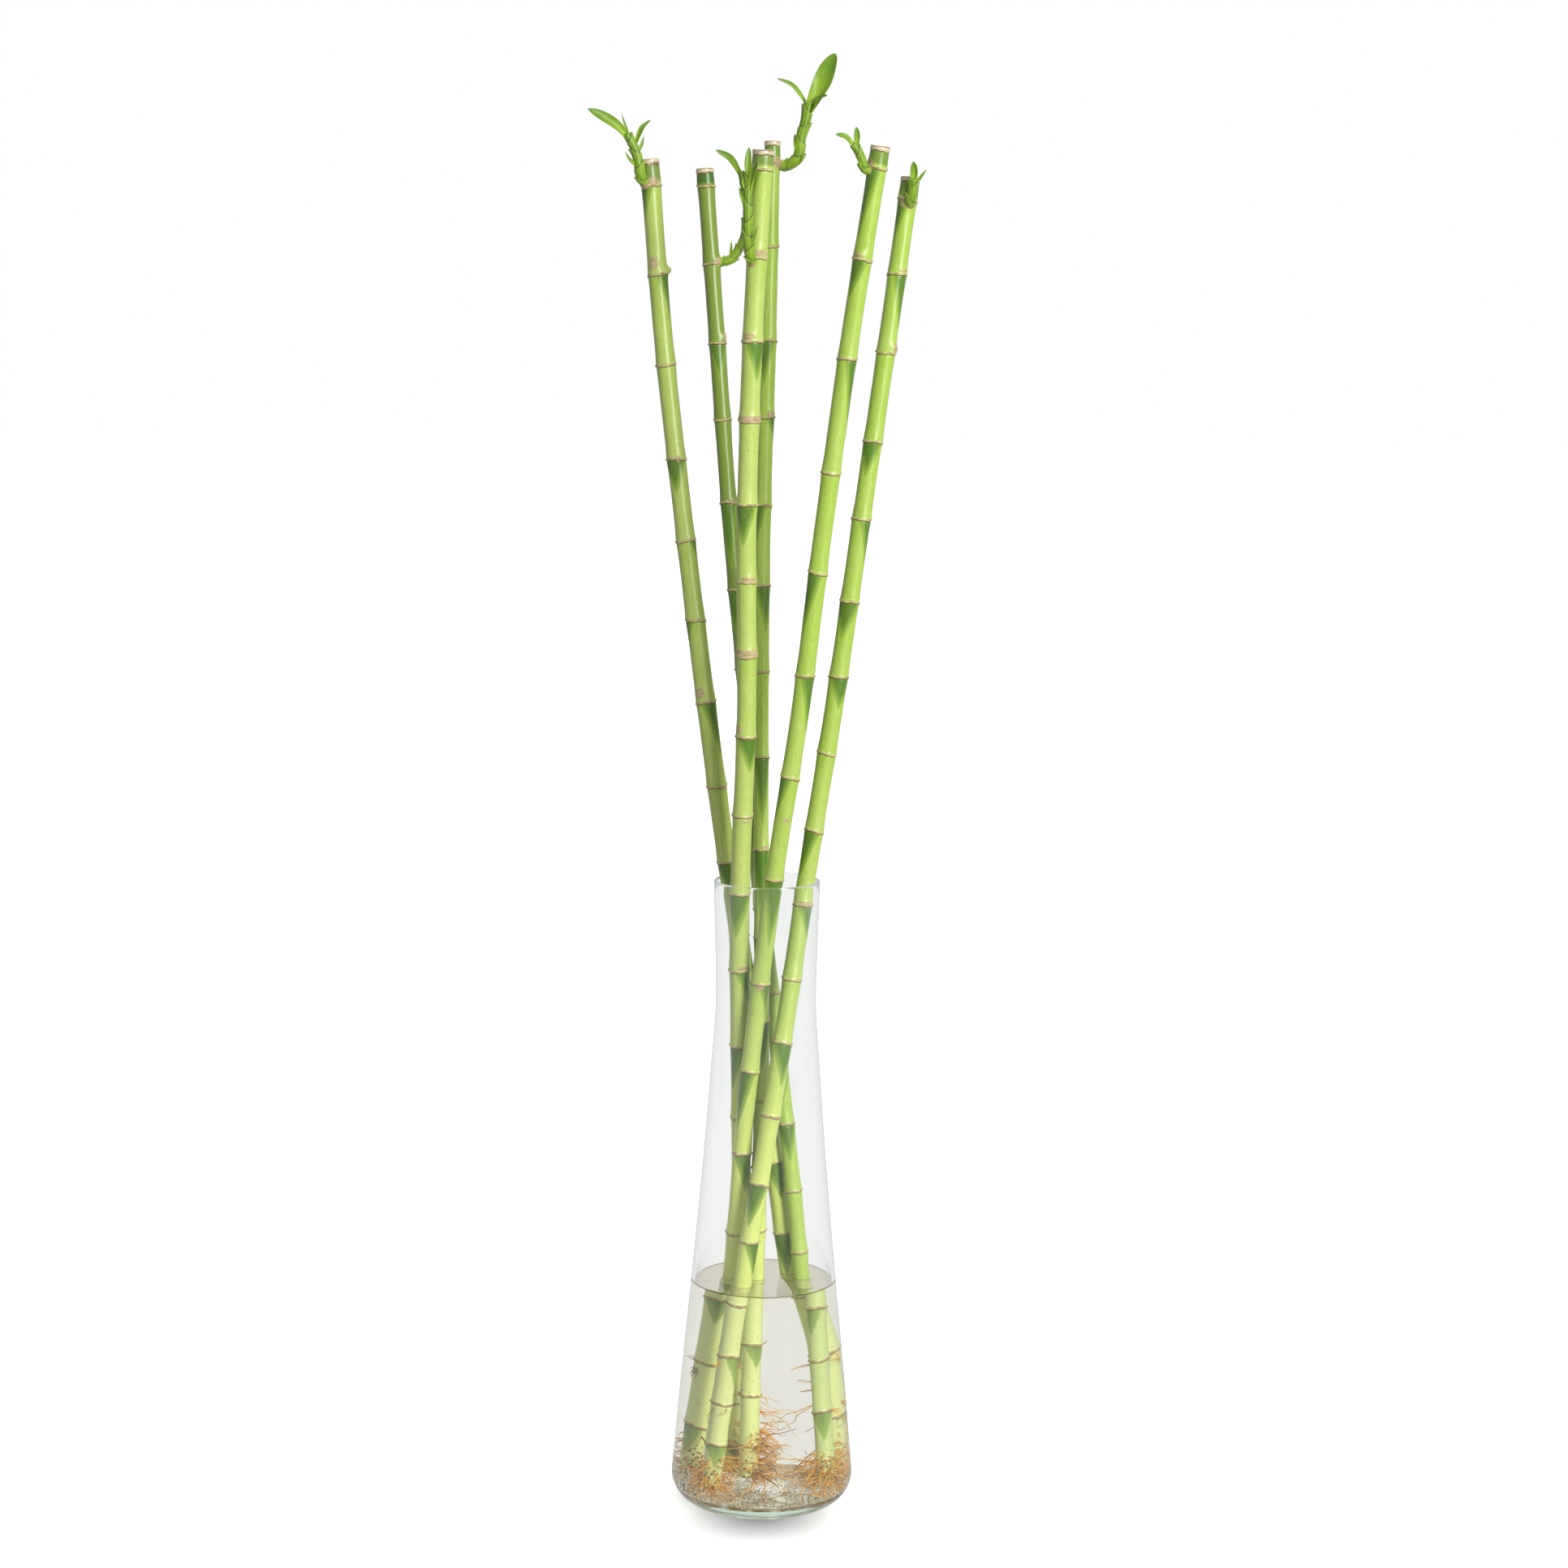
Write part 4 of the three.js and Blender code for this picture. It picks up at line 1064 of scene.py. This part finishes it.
# A root, in millimetres: how far inside the skin it begins, how long its steps and its branch's are, how
# high it lies on the floor at least and how much higher at most, how far it keeps from the wall and from
# the other canes, and how far below another cane's cut it runs free
ROOT_START = 0.8
ROOT_STEP = 1.7
BRANCH_STEP = 1.5
LEAST_REST = 0.9
REST_SPREAD = 0.3
WALL_CLEARANCE = 1.2
ROOT_CLEARANCE = 0.7
FREE_BELOW = 1

# How a root strays from step to step: the range of its first swerve and of those that follow, how much of
# the last swerve lives on, the range by which its rise changes, how much of its fall becomes a rise at the
# floor, and how strongly it turns back from the wall
FIRST_SWERVE = (-0.2, 0.2)
SWERVE = (-0.3, 0.3)
SWERVE_KEPT = 0.8
RISE = (-0.3, 0.27)
FLOOR_BOUNCE = 0.2
TURN_BACK = 1.2

# A branch: the range of its turn away from the root and of each later one, its fewest and most steps, its
# size as a share of its root's, how brown it is, the share of the longer roots that have one, and the
# points that a root has to have for it
BRANCH_TURN = (-1.2, 1.2)
BRANCH_STRAY = (-0.35, 0.35)
BRANCH_STEPS = (3, 6)
BRANCH_SIZE = 0.45
BRANCH_BROWN = 0.2
BRANCHED = 0.5
LONG_ROOT = 6

# Roots of a tuft: the power that crowds them towards the cut, their least fall for each millimetre of
# reach, the range of their sizes, and how brown the brown ones are, with their share
CROWDING = 1.5
LEAST_FALL = -0.1
ROOT_SIZES = (0.5, 1.3)
BROWN = 0.9
BROWN_ROOTS = 0.12

# How high roots differ from their row of the table: the way that they face in degrees, their height in
# millimetres where there are several, and their reach and size as shares
HIGH_SPREAD = 14
HIGH_LIFT = (-2.5, 1)
HIGH_REACH = (0.75, 1.1)
HIGH_SIZES = (0.5, 0.9)

# A root's cross-section: its sides, how much thinner it is at the tip, and a direction, almost straight
# up, that no root runs along exactly
ROOT_SIDES = 5
ROOT_TAPER = 0.6
ALMOST_UP = (0.01, 0.01, 1)


def keep_within(place, room):
    """Moves a point sideways to within a distance of the vase's axis."""
    place[:2] *= min(1, room / max(math.hypot(*place[:2]), 1))


def step_past_canes(place, own):
    """Moves a point of a root sideways out of every cane but the one that it grows from."""
    for cane in CANES:
        if cane is own or place[2] < cane["bottom"] - FREE_BELOW:
            continue
        middle = cane_place(cane, place[2])[0, :2]
        away = math.hypot(*(place[:2] - middle))
        room = cane["radius"] + ROOT_CLEARANCE
        if away < room:
            place[:2] = middle + (place[:2] - middle) * room / max(away, 0.1)


def root_path(cane, angle, height, reach, fall, draw):
    """A root's way through the water from a cane's skin, as points in millimetres."""
    way = np.array([math.sin(angle), -math.cos(angle), -fall])
    out = cane["radius"] - ROOT_START
    place = cane_place(cane, height)[0] + way * np.array([out, out, 0])
    points = [place.copy()]
    swerve = draw.uniform(*FIRST_SWERVE)
    for _ in range(max(int(reach / ROOT_STEP), 3)):
        swerve = SWERVE_KEPT * swerve + draw.uniform(*SWERVE)
        turn = np.array([[math.cos(swerve), -math.sin(swerve)], [math.sin(swerve), math.cos(swerve)]])
        way[:2] = turn @ way[:2]
        way[2] += draw.uniform(*RISE)
        way = unit(way)
        place = place + way * ROOT_STEP
        floor = FLOOR + LEAST_REST + REST_SPREAD * draw.random()
        if place[2] < floor:
            place[2] = floor
            way[2] = abs(way[2]) * FLOOR_BOUNCE
        room = inside_radius(place[2]) - WALL_CLEARANCE
        away = math.hypot(place[0], place[1])
        if away > room:
            place[:2] *= room / away
            way[:2] -= TURN_BACK * place[:2] / room
        step_past_canes(place, cane)
        points.append(place.copy())
    return points


def chance_way(draw, low, high):
    """A chance direction whose three parts lie between low and high."""
    return np.array([draw.uniform(low, high) for _ in range(3)])


def branch_path(cane, path, draw):
    """A thin branch that leaves a root somewhere along it, as points in millimetres."""
    start = draw.randrange(1, len(path) - 3)
    way = unit(path[start + 1] - path[start] + chance_way(draw, *BRANCH_TURN))
    points = [path[start].copy()]
    for _ in range(draw.randint(*BRANCH_STEPS)):
        way = unit(way + chance_way(draw, *BRANCH_STRAY))
        place = points[-1] + way * BRANCH_STEP
        place[2] = max(place[2], FLOOR + LEAST_REST)
        keep_within(place, inside_radius(place[2]) - WALL_CLEARANCE)
        step_past_canes(place, cane)
        points.append(place)
    return points


def tuft_strands(index, cane, draw):
    """Every root of a cane, as points, size and how brown it is."""
    count, low, high, near, far, side, spread, steepest = TUFTS[index]
    for _ in range(count):
        angle = math.radians(side + draw.uniform(-spread, spread))
        height = cane["bottom"] + low + (high - low) * draw.random() ** CROWDING
        reach, fall = draw.uniform(near, far), draw.uniform(LEAST_FALL, steepest)
        path = root_path(cane, angle, height, reach, fall, draw)
        size = draw.uniform(*ROOT_SIZES)
        yield path, size, BROWN * (draw.random() < BROWN_ROOTS)
        if draw.random() < BRANCHED and len(path) >= LONG_ROOT:
            yield branch_path(cane, path, draw), BRANCH_SIZE * size, BRANCH_BROWN
    for number, height, side, reach, fall, count, brown in HIGH_ROOTS:
        if number != index + 1:
            continue
        for _ in range(count):
            angle = math.radians(side + draw.uniform(-HIGH_SPREAD, HIGH_SPREAD))
            lift = draw.uniform(*HIGH_LIFT) if count > 1 else 0
            path = root_path(cane, angle, height + lift, reach * draw.uniform(*HIGH_REACH), fall, draw)
            yield path, draw.uniform(*HIGH_SIZES), brown


def strand(points, radius, brown):
    """One round, tapering root as a mesh, with how far along it is and how brown it is as fields."""
    bm = bmesh.new()
    along = bm.verts.layers.float.new("along")
    old = bm.verts.layers.float.new("old")
    shares = np.linspace(0, 1, 2 * len(points) - 1)
    middle, ahead = curve_points(points, shares)
    turns = [2 * math.pi * i / ROOT_SIDES for i in range(ROOT_SIDES)]
    edge = None
    for place, right, top, share in zip(middle, *sides_of(ahead, ALMOST_UP), shares):
        out = radius * (1 - ROOT_TAPER * share)
        ring = [bm.verts.new((place + out * (right * math.cos(t) + top * math.sin(t))) * MM) for t in turns]
        for corner in ring:
            corner[along] = share
            corner[old] = brown
        loops = [bm.edges.new((ring[i - 1], ring[i])) for i in range(ROOT_SIDES)]
        if edge:
            bmesh.ops.bridge_loops(bm, edges=edge + loops)
        else:
            bm.faces.new(ring)
        edge = loops
    bm.faces.new(ring)
    bmesh.ops.recalc_face_normals(bm, faces=bm.faces)
    return mesh_of(bm, "strand")


def joined(meshes, name):
    """All the meshes as one."""
    bm = bmesh.new()
    for mesh in meshes:
        bm.from_mesh(mesh)
        bpy.data.meshes.remove(mesh)
    return mesh_of(bm, name)


class BAMBOO_OT_roots(bpy.types.Operator):
    """Grows a tuft of curly orange roots at the foot of each cane"""
    bl_idname = "bamboo.add_roots"
    bl_label = "Add Roots"

    def execute(self, context):
        settings = context.scene.bamboo_roots
        skin = root_material(settings)
        for index, cane in enumerate(CANES):
            draw = random.Random(ROOT_SEED + index)
            strands = [
                strand(points, size * settings.thick / MM, brown)
                for points, size, brown in tuft_strands(index, cane, draw)
            ]
            mesh = joined(strands, f"water_roots_{index + 1}")
            add_piece(f"water_roots_{index + 1}", mesh, [skin])
        return {"FINISHED"}


# Sediment: its seed, the crumbs of one batch, the share of them outside its drift, and the bits of old
# root among all the crumbs
SEDIMENT_SEED = 7
CRUMBS_IN_BATCH = 100
SCATTERED = 0.3
LITTER = 60

# A drift: the power that crowds drifts towards the vase's edge, how far its crumbs stray in and out as a
# share of the floor's room, and how far they stray round the vase in radians
DRIFT_CROWDING = 0.3
DRIFT_WIDTH = 0.09
DRIFT_TURN = 0.16

# A crumb, in millimetres: its least size and how much larger it may be, and how high it lies above the
# floor, with how fast the layer climbs at the rounded heel
LEAST_CRUMB = 0.1
CRUMB_SPREAD = 0.5
CRUMB_HEIGHT = 0.55
HEEL_CLIMB = 0.04

# A bit of old root, in millimetres: its height above the floor, its step and the range of its radius.
# Then its fewest and most steps, and how far it turns and rises at each.
LITTER_HEIGHT = 1.0
LITTER_STEP = 1.6
LITTER_RADIUS = (0.12, 0.28)
LITTER_STEPS = (4, 10)
LITTER_TURN = (-0.5, 0.5)
LITTER_RISE = (-0.1, 0.1)


def crumb_batch(room, draw):
    """Crumbs of sediment, most of them in one drift, each with its own tone."""
    bm = bmesh.new()
    tones = bm.verts.layers.float.new("tone")
    drift = draw.random() ** DRIFT_CROWDING
    turned_to = draw.uniform(0, 2 * math.pi)
    for _ in range(CRUMBS_IN_BATCH):
        away = min(room * abs(drift + draw.gauss(0, DRIFT_WIDTH)), room)
        angle = turned_to + draw.gauss(0, DRIFT_TURN)
        if draw.random() < SCATTERED:
            away, angle = room * draw.random() ** 0.5, draw.uniform(0, 2 * math.pi)
        size = LEAST_CRUMB + CRUMB_SPREAD * draw.random() ** 3
        lift = FLOOR + CRUMB_HEIGHT + size * 0.4 + max(0, away - FLAT_RADIUS) ** 2 * HEEL_CLIMB
        place = Vector((away * math.cos(angle), away * math.sin(angle), lift)) * MM
        turn = Matrix.Rotation(draw.uniform(0, 6), 4, Vector((draw.random(), draw.random(), 1)))
        shape = Matrix.Diagonal((size * MM, size * draw.uniform(0.5, 1) * MM, size * 0.5 * MM, 1))
        made = bmesh.ops.create_icosphere(
            bm, subdivisions=1, radius=1, matrix=Matrix.Translation(place) @ turn @ shape,
        )
        tone = draw.random()
        for vert in made["verts"]:
            vert[tones] = tone
    return mesh_of(bm, "crumbs")


def litter(room, draw):
    """A curled bit of old root that lies on the floor."""
    heading = draw.uniform(0, 2 * math.pi)
    away = room * draw.random() ** 0.4 - 2
    place = np.array([away * math.cos(heading), away * math.sin(heading), FLOOR + LITTER_HEIGHT])
    heading = draw.uniform(0, 2 * math.pi)
    points = [place]
    for _ in range(draw.randint(*LITTER_STEPS)):
        heading += draw.uniform(*LITTER_TURN)
        step = np.array([math.cos(heading), math.sin(heading), draw.uniform(*LITTER_RISE)])
        place = place + LITTER_STEP * step
        keep_within(place, room - 1)
        points.append(place)
    mesh = strand(points, draw.uniform(*LITTER_RADIUS), 1.0)
    mesh.polygons.foreach_set("material_index", [1] * len(mesh.polygons))
    return mesh


class BAMBOO_OT_sediment(bpy.types.Operator):
    """Strews crumbs of sediment over the floor of the vase, most of them along its edge"""
    bl_idname = "bamboo.add_sediment"
    bl_label = "Add Sediment"

    def execute(self, context):
        settings = context.scene.bamboo_roots
        draw = random.Random(SEDIMENT_SEED)
        room = inside_radius(FLOOR + 2) - 1
        batches = [crumb_batch(room, draw) for _ in range(settings.crumbs // CRUMBS_IN_BATCH)]
        batches += [litter(room, draw) for _ in range(LITTER)]
        mesh = joined(batches, "sediment")
        add_piece("sediment", mesh, [grit_material(settings), root_material(settings)])
        return {"FINISHED"}


# Width of a blade along its length, as shares of its half width: a small leaf, a broad leaf with a blunt
# tip, and a sheath's pointed tip
LEAF_OUTLINE = [(0, 0.4), (0.2, 0.68), (0.42, 0.95), (0.58, 1.0), (0.78, 0.84), (0.92, 0.47), (1, 0.04)]
BROAD_OUTLINE = [
    (0, 0.5), (0.2, 0.74), (0.4, 0.95), (0.55, 1.0), (0.74, 0.88), (0.88, 0.62), (0.96, 0.38), (1, 0.1),
]
TIP_OUTLINE = [(0, 0.95), (0.25, 1.0), (0.5, 0.86), (0.75, 0.5), (0.92, 0.18), (1, 0.03)]

# Half widths, in millimetres, from which a blade is a leaf, and from which it is a broad one whose veins
# all show
LEAF_HALF = 1.5
BROAD_HALF = 4


def outline_of(half):
    if half >= BROAD_HALF:
        return np.array(BROAD_OUTLINE)
    return np.array(LEAF_OUTLINE if half >= LEAF_HALF else TIP_OUTLINE)


# A blade: its faces across and along, how deep its channel is at the tip and how much deeper at the base,
# and how high its edge waves
BLADE_ACROSS = 8
BLADE_ALONG = 28
CHANNEL = 0.3
BASE_CHANNEL = 0.5
EDGE_WAVE = 0.08


def leaf_mesh(half, face, points, thickness):
    """A leaf or sheath tip with a shallow channel and a gently waved edge."""
    bm = bmesh.new()
    bmesh.ops.create_grid(bm, x_segments=BLADE_ACROSS, y_segments=BLADE_ALONG, size=1)
    mesh = mesh_of(bm, "blade")
    places = coordinates(mesh)
    across, along = places[:, 0], (places[:, 1] + 1) / 2
    outline = outline_of(half)
    width = half * hermite(outline[:, 0], outline[:, 1:], along)[:, 0]
    middle, ahead = curve_points(points, along)
    beside, up = sides_of(ahead, face)
    wave = EDGE_WAVE * half * np.sin(along * 9 + half) * across**2 * np.sin(along * math.pi)
    lift = (CHANNEL + BASE_CHANNEL * (1 - along) ** 2) * width * across**2 + wave
    move_to(mesh, (middle + beside * (across * width)[:, None] + up * lift[:, None]) * MM)
    none = np.zeros(len(along))
    add_fields(
        mesh, across=across * min(1, half / BROAD_HALF), along=0.25 + 0.75 * along, mouth=none, under=none,
        collar=none,
    )
    leaf = bmesh.new()
    leaf.from_mesh(mesh)
    bmesh.ops.recalc_face_normals(leaf, faces=leaf.faces)
    bmesh.ops.solidify(leaf, geom=leaf.faces[:], thickness=thickness)
    return mesh_of(leaf, "leaf")


# How far apart the mouths of a stem's sheaths are, how far a sheath's tip reaches past its mouth and how
# far it peels off, in millimetres, and how much thicker a stem is in its sheaths than bare
MOUTH_SPACING = 9
MOUTH_TIP = 4.5
MOUTH_PEEL = 0.9
STEM_SWELL = 1.14

# Rows of a sheath, sides of a stem, and the angle in degrees past which a shoot's edges stay sharp
ROWS_IN_SHEATH = 14
STEM_SIDES = 36
SHARP_FROM = 55


def stem_rows(length):
    """Rows of a stem: place along it, number of the sheath, and place along that sheath."""
    count = max(round(length / MOUTH_SPACING), 2)
    stops = [0, *((i + 0.7) / (count + 0.4) for i in range(count)), 1]
    steps = [step / ROWS_IN_SHEATH for step in range(ROWS_IN_SHEATH + 1)]
    return np.array([
        (start + (end - start) * step, number, step)
        for number, (start, end) in enumerate(zip(stops, stops[1:])) for step in steps
    ])


def mouth_tip(angle, number):
    """How far the mouth of a sheath rises round it, from 0 to 1, on the left or right by turns."""
    side = np.radians(np.where(number % 2, 80, -80))
    return (0.5 + 0.5 * np.cos(angle - side)) ** 3


def stem_mesh(shoot):
    """A shoot's stem, clasped by sheaths that widen to a pointed mouth, on one side and the other."""
    thick, thin = shoot["thick"], shoot["thin"]
    length = np.linalg.norm(np.diff(np.array(shoot["stem"], float), axis=0), axis=1).sum()
    rows = stem_rows(length)
    profile = [(0, 0), *((1, row) for row in range(len(rows))), (0, len(rows) - 1)]
    mesh = mesh_of(turned(profile, STEM_SIDES), "stem")
    places = coordinates(mesh)
    at, sheath, share = rows[places[:, 2].round().astype(int)].T
    angle = np.arctan2(places[:, 0], -places[:, 1])
    full = np.hypot(places[:, 0], places[:, 1]) > 0.5
    last = sheath == sheath.max()
    own, below = mouth_tip(angle, sheath) * ~last, mouth_tip(angle, sheath - 1) * (sheath > 0)
    along = at + MOUTH_TIP / length * (own * share**3 + below * (1 - share) ** 3)
    out = STEM_SWELL * (thick + (thin - thick) * at) * (0.93 + 0.15 * share**2)
    out += MOUTH_PEEL * own * share**5
    out *= (1 + 0.16 * smooth_step(0.07, 0.0, at) - 0.5 * smooth_step(0.9, 1.0, share) * last) * full
    move_to(mesh, wrapped(*curve_points(shoot["stem"], along), out, angle) * MM)
    # The under field is where the painted shade lies, on the stem just above the mouth of the sheath below
    add_fields(
        mesh, across=np.sin(angle) * 0.5,
        along=0.35 + 0.3 * at + 0.35 * (1 - share),
        mouth=smooth_step(0.92, 1.0, share) * ~last,
        under=smooth_step(0.3, 0.0, share) * (sheath > 0),
        collar=smooth_step(4.6 / length, 2.6 / length, along),
    )
    return mesh


class BAMBOO_OT_shoots(bpy.types.Operator):
    """Grows a sheathed shoot with its narrow leaves on each cane"""
    bl_idname = "bamboo.add_shoots"
    bl_label = "Add Shoots"

    def execute(self, context):
        settings = context.scene.bamboo_shoots
        skin = leaf_material(settings)
        for index, shoot in enumerate(SHOOTS):
            leaves = [leaf_mesh(*leaf, settings.thickness) for leaf in shoot["leaves"]]
            mesh = joined([stem_mesh(shoot), *leaves], f"leafy_shoot_{index + 1}")
            add_piece(f"leafy_shoot_{index + 1}", mesh, [skin], f"shoot_{index + 1}")
            mesh.set_sharp_from_angle(angle=math.radians(SHARP_FROM))
        return {"FINISHED"}


# The paper floor, in metres: half its width, how far it lies below the vase, how far in front of the vase
# the middle of its painted soft shadow lies, and how far out from there that shadow and the glow settle
PAPER_HALF = 20
PAPER_DROP = 0.0002
SHADOW_AHEAD = 0.035
SHADOW_REACH = 0.06
GLOW_REACH = 0.17

# Strength of the paper's glow, away from the vase
PAPER_GLOW = 1.1

# Width of the camera's sensor in millimetres, and how far it sees in metres
SENSOR = 36
SIGHT = 50

# Place and size of each lamp, and the height that both aim at, in metres
KEY_LAMP = (1.3, -1.9, 1.35), (0.7, 1.3)
TOP_LAMP = (0.15, 0.7, 1.9), (0.8, 0.8)
LAMP_AIM = 0.45


class BAMBOO_OT_stage(bpy.types.Operator):
    """Sets the camera, a white floor with a painted soft shadow round the foot, and soft studio light"""
    bl_idname = "bamboo.set_stage"
    bl_label = "Set Stage"

    def execute(self, context):
        settings = context.scene.bamboo_stage
        scene = context.scene
        camera = bpy.data.objects.new("camera", bpy.data.cameras.new("camera"))
        scene.collection.objects.link(camera)
        camera.data.lens = settings.lens
        camera.data.sensor_width = SENSOR
        camera.data.clip_end = SIGHT
        tilt = Matrix.Rotation(math.pi / 2 - settings.camera_down, 4, "X")
        roll = Matrix.Rotation(settings.camera_roll, 4, "Z")
        camera.matrix_world = Matrix.Translation(settings.camera_place) @ tilt @ roll
        scene.camera = camera
        scene.view_settings.view_transform = "Standard"
        self.make_floor(scene, settings)
        self.make_sky(scene, settings)
        self.make_lamp(scene, "key_light", *KEY_LAMP, settings.key_power)
        self.make_lamp(scene, "top_light", *TOP_LAMP, settings.top_power)
        return {"FINISHED"}

    def make_floor(self, scene, settings):
        bm = bmesh.new()
        bmesh.ops.create_grid(bm, x_segments=1, y_segments=1, size=PAPER_HALF)
        floor = bpy.data.objects.new("floor", mesh_of(bm, "floor"))
        floor.location.z = -PAPER_DROP
        scene.collection.objects.link(floor)
        # Matt white paper under studio light, so bright that it runs into the backdrop away from the
        # vase. Its soft shadow round the foot is painted: near a point just in front of the vase the
        # paper is darker and glows less. Past the glass and mirrored in it, it has one even, slightly
        # lower brightness.
        material, tree = new_tree("white_paper")
        where = node(tree, "ShaderNodeTexCoord", output="Object")
        moved = node(tree, "ShaderNodeVectorMath", {0: where, 1: (0, SHADOW_AHEAD, 0)}, operation="ADD")
        away = node(tree, "ShaderNodeVectorMath", {0: moved}, "Value", operation="LENGTH")
        # The glow fades out towards the shadow's middle, as part of the painted shadow
        glow = node(tree, "ShaderNodeMapRange", {
            "Value": away, "From Min": 0.0, "From Max": GLOW_REACH, "To Min": 0.0, "To Max": PAPER_GLOW,
        })
        # Painted shadow: the paper's colour darkens towards the shadow's middle
        shade = layer(tree, linear("#98989e"), linear("#e9e9e9"), away, 0.0, SHADOW_REACH)
        seen = node(tree, "ShaderNodeLightPath", output="Is Camera Ray")
        glow = node(tree, "ShaderNodeMath", {0: glow, 1: seen}, operation="MULTIPLY")
        paper = node(tree, "ShaderNodeBsdfPrincipled", {
            "Base Color": shade, "Roughness": 0.9, "Emission Color": (1, 1, 1, 1),
            "Emission Strength": glow,
        })
        past_glass = node(tree, "ShaderNodeLightPath", output="Is Transmission Ray")
        mirrored = node(tree, "ShaderNodeLightPath", output="Is Reflection Ray")
        # Inputs 2 and 3 of a Mix node are its plain numbers
        level = node(tree, "ShaderNodeMix", {
            0: mirrored, 2: settings.past_glass, 3: settings.mirrored,
        })
        even = node(tree, "ShaderNodeEmission", {"Color": (1, 1, 1, 1), "Strength": level})
        either = node(tree, "ShaderNodeMath", {0: past_glass, 1: mirrored}, operation="MAXIMUM")
        surface = node(tree, "ShaderNodeMixShader", {0: either, 1: paper, 2: even})
        node(tree, "ShaderNodeOutputMaterial", {"Surface": surface})
        floor.data.materials.append(material)

    def make_sky(self, scene, settings):
        world = bpy.data.worlds.new("studio")
        world.use_nodes = True
        scene.world = world
        tree = world.node_tree
        tree.nodes.clear()
        strength = 1.0
        for kind, level in (
            ("Is Transmission Ray", settings.past_glass), ("Is Reflection Ray", settings.mirrored),
            ("Is Diffuse Ray", settings.world_strength),
        ):
            ray = node(tree, "ShaderNodeLightPath", output=kind)
            strength = node(tree, "ShaderNodeMix", {0: ray, 2: strength, 3: level})
        sky = node(tree, "ShaderNodeBackground", {"Color": (1, 1, 1, 1), "Strength": strength})
        node(tree, "ShaderNodeOutputWorld", {"Surface": sky})

    def make_lamp(self, scene, name, place, size, power):
        lamp = bpy.data.lights.new(name, "AREA")
        lamp.shape = "RECTANGLE"
        lamp.size, lamp.size_y = size
        lamp.energy = power
        holder = bpy.data.objects.new(name, lamp)
        scene.collection.objects.link(holder)
        aim = Vector((0, 0, LAMP_AIM)) - Vector(place)
        holder.matrix_world = Matrix.Translation(place) @ aim.to_track_quat("-Z", "Y").to_matrix().to_4x4()


class BAMBOO_PT_panel(bpy.types.Panel):
    """Lists the steps that build the bamboo"""
    bl_label = "Lucky Bamboo"
    bl_space_type = "VIEW_3D"
    bl_region_type = "UI"
    bl_category = "Bamboo"

    def draw(self, context):
        for step in STEPS:
            self.layout.operator(step.bl_idname)


GROUPS = {
    "bamboo_vase": BAMBOO_PG_vase,
    "bamboo_canes": BAMBOO_PG_canes,
    "bamboo_roots": BAMBOO_PG_roots,
    "bamboo_shoots": BAMBOO_PG_shoots,
    "bamboo_stage": BAMBOO_PG_stage,
}
STEPS = [
    BAMBOO_OT_stage, BAMBOO_OT_vase, BAMBOO_OT_water, BAMBOO_OT_bubbles, BAMBOO_OT_canes,
    BAMBOO_OT_roots, BAMBOO_OT_sediment, BAMBOO_OT_shoots,
]


def register():
    for made in [*GROUPS.values(), *STEPS, BAMBOO_PT_panel]:
        bpy.utils.register_class(made)
    for name, group in GROUPS.items():
        setattr(bpy.types.Scene, name, PointerProperty(type=group))


def unregister():
    for name in GROUPS:
        delattr(bpy.types.Scene, name)
    for made in [BAMBOO_PT_panel, *reversed(STEPS), *reversed(GROUPS.values())]:
        bpy.utils.unregister_class(made)


def main():
    register()
    bpy.ops.bamboo.set_stage()
    bpy.ops.bamboo.add_vase()
    bpy.ops.bamboo.add_water()
    bpy.ops.bamboo.add_bubbles()
    bpy.ops.bamboo.add_canes()
    bpy.ops.bamboo.add_roots()
    bpy.ops.bamboo.add_sediment()
    bpy.ops.bamboo.add_shoots()


if __name__ == "__main__":
    main()
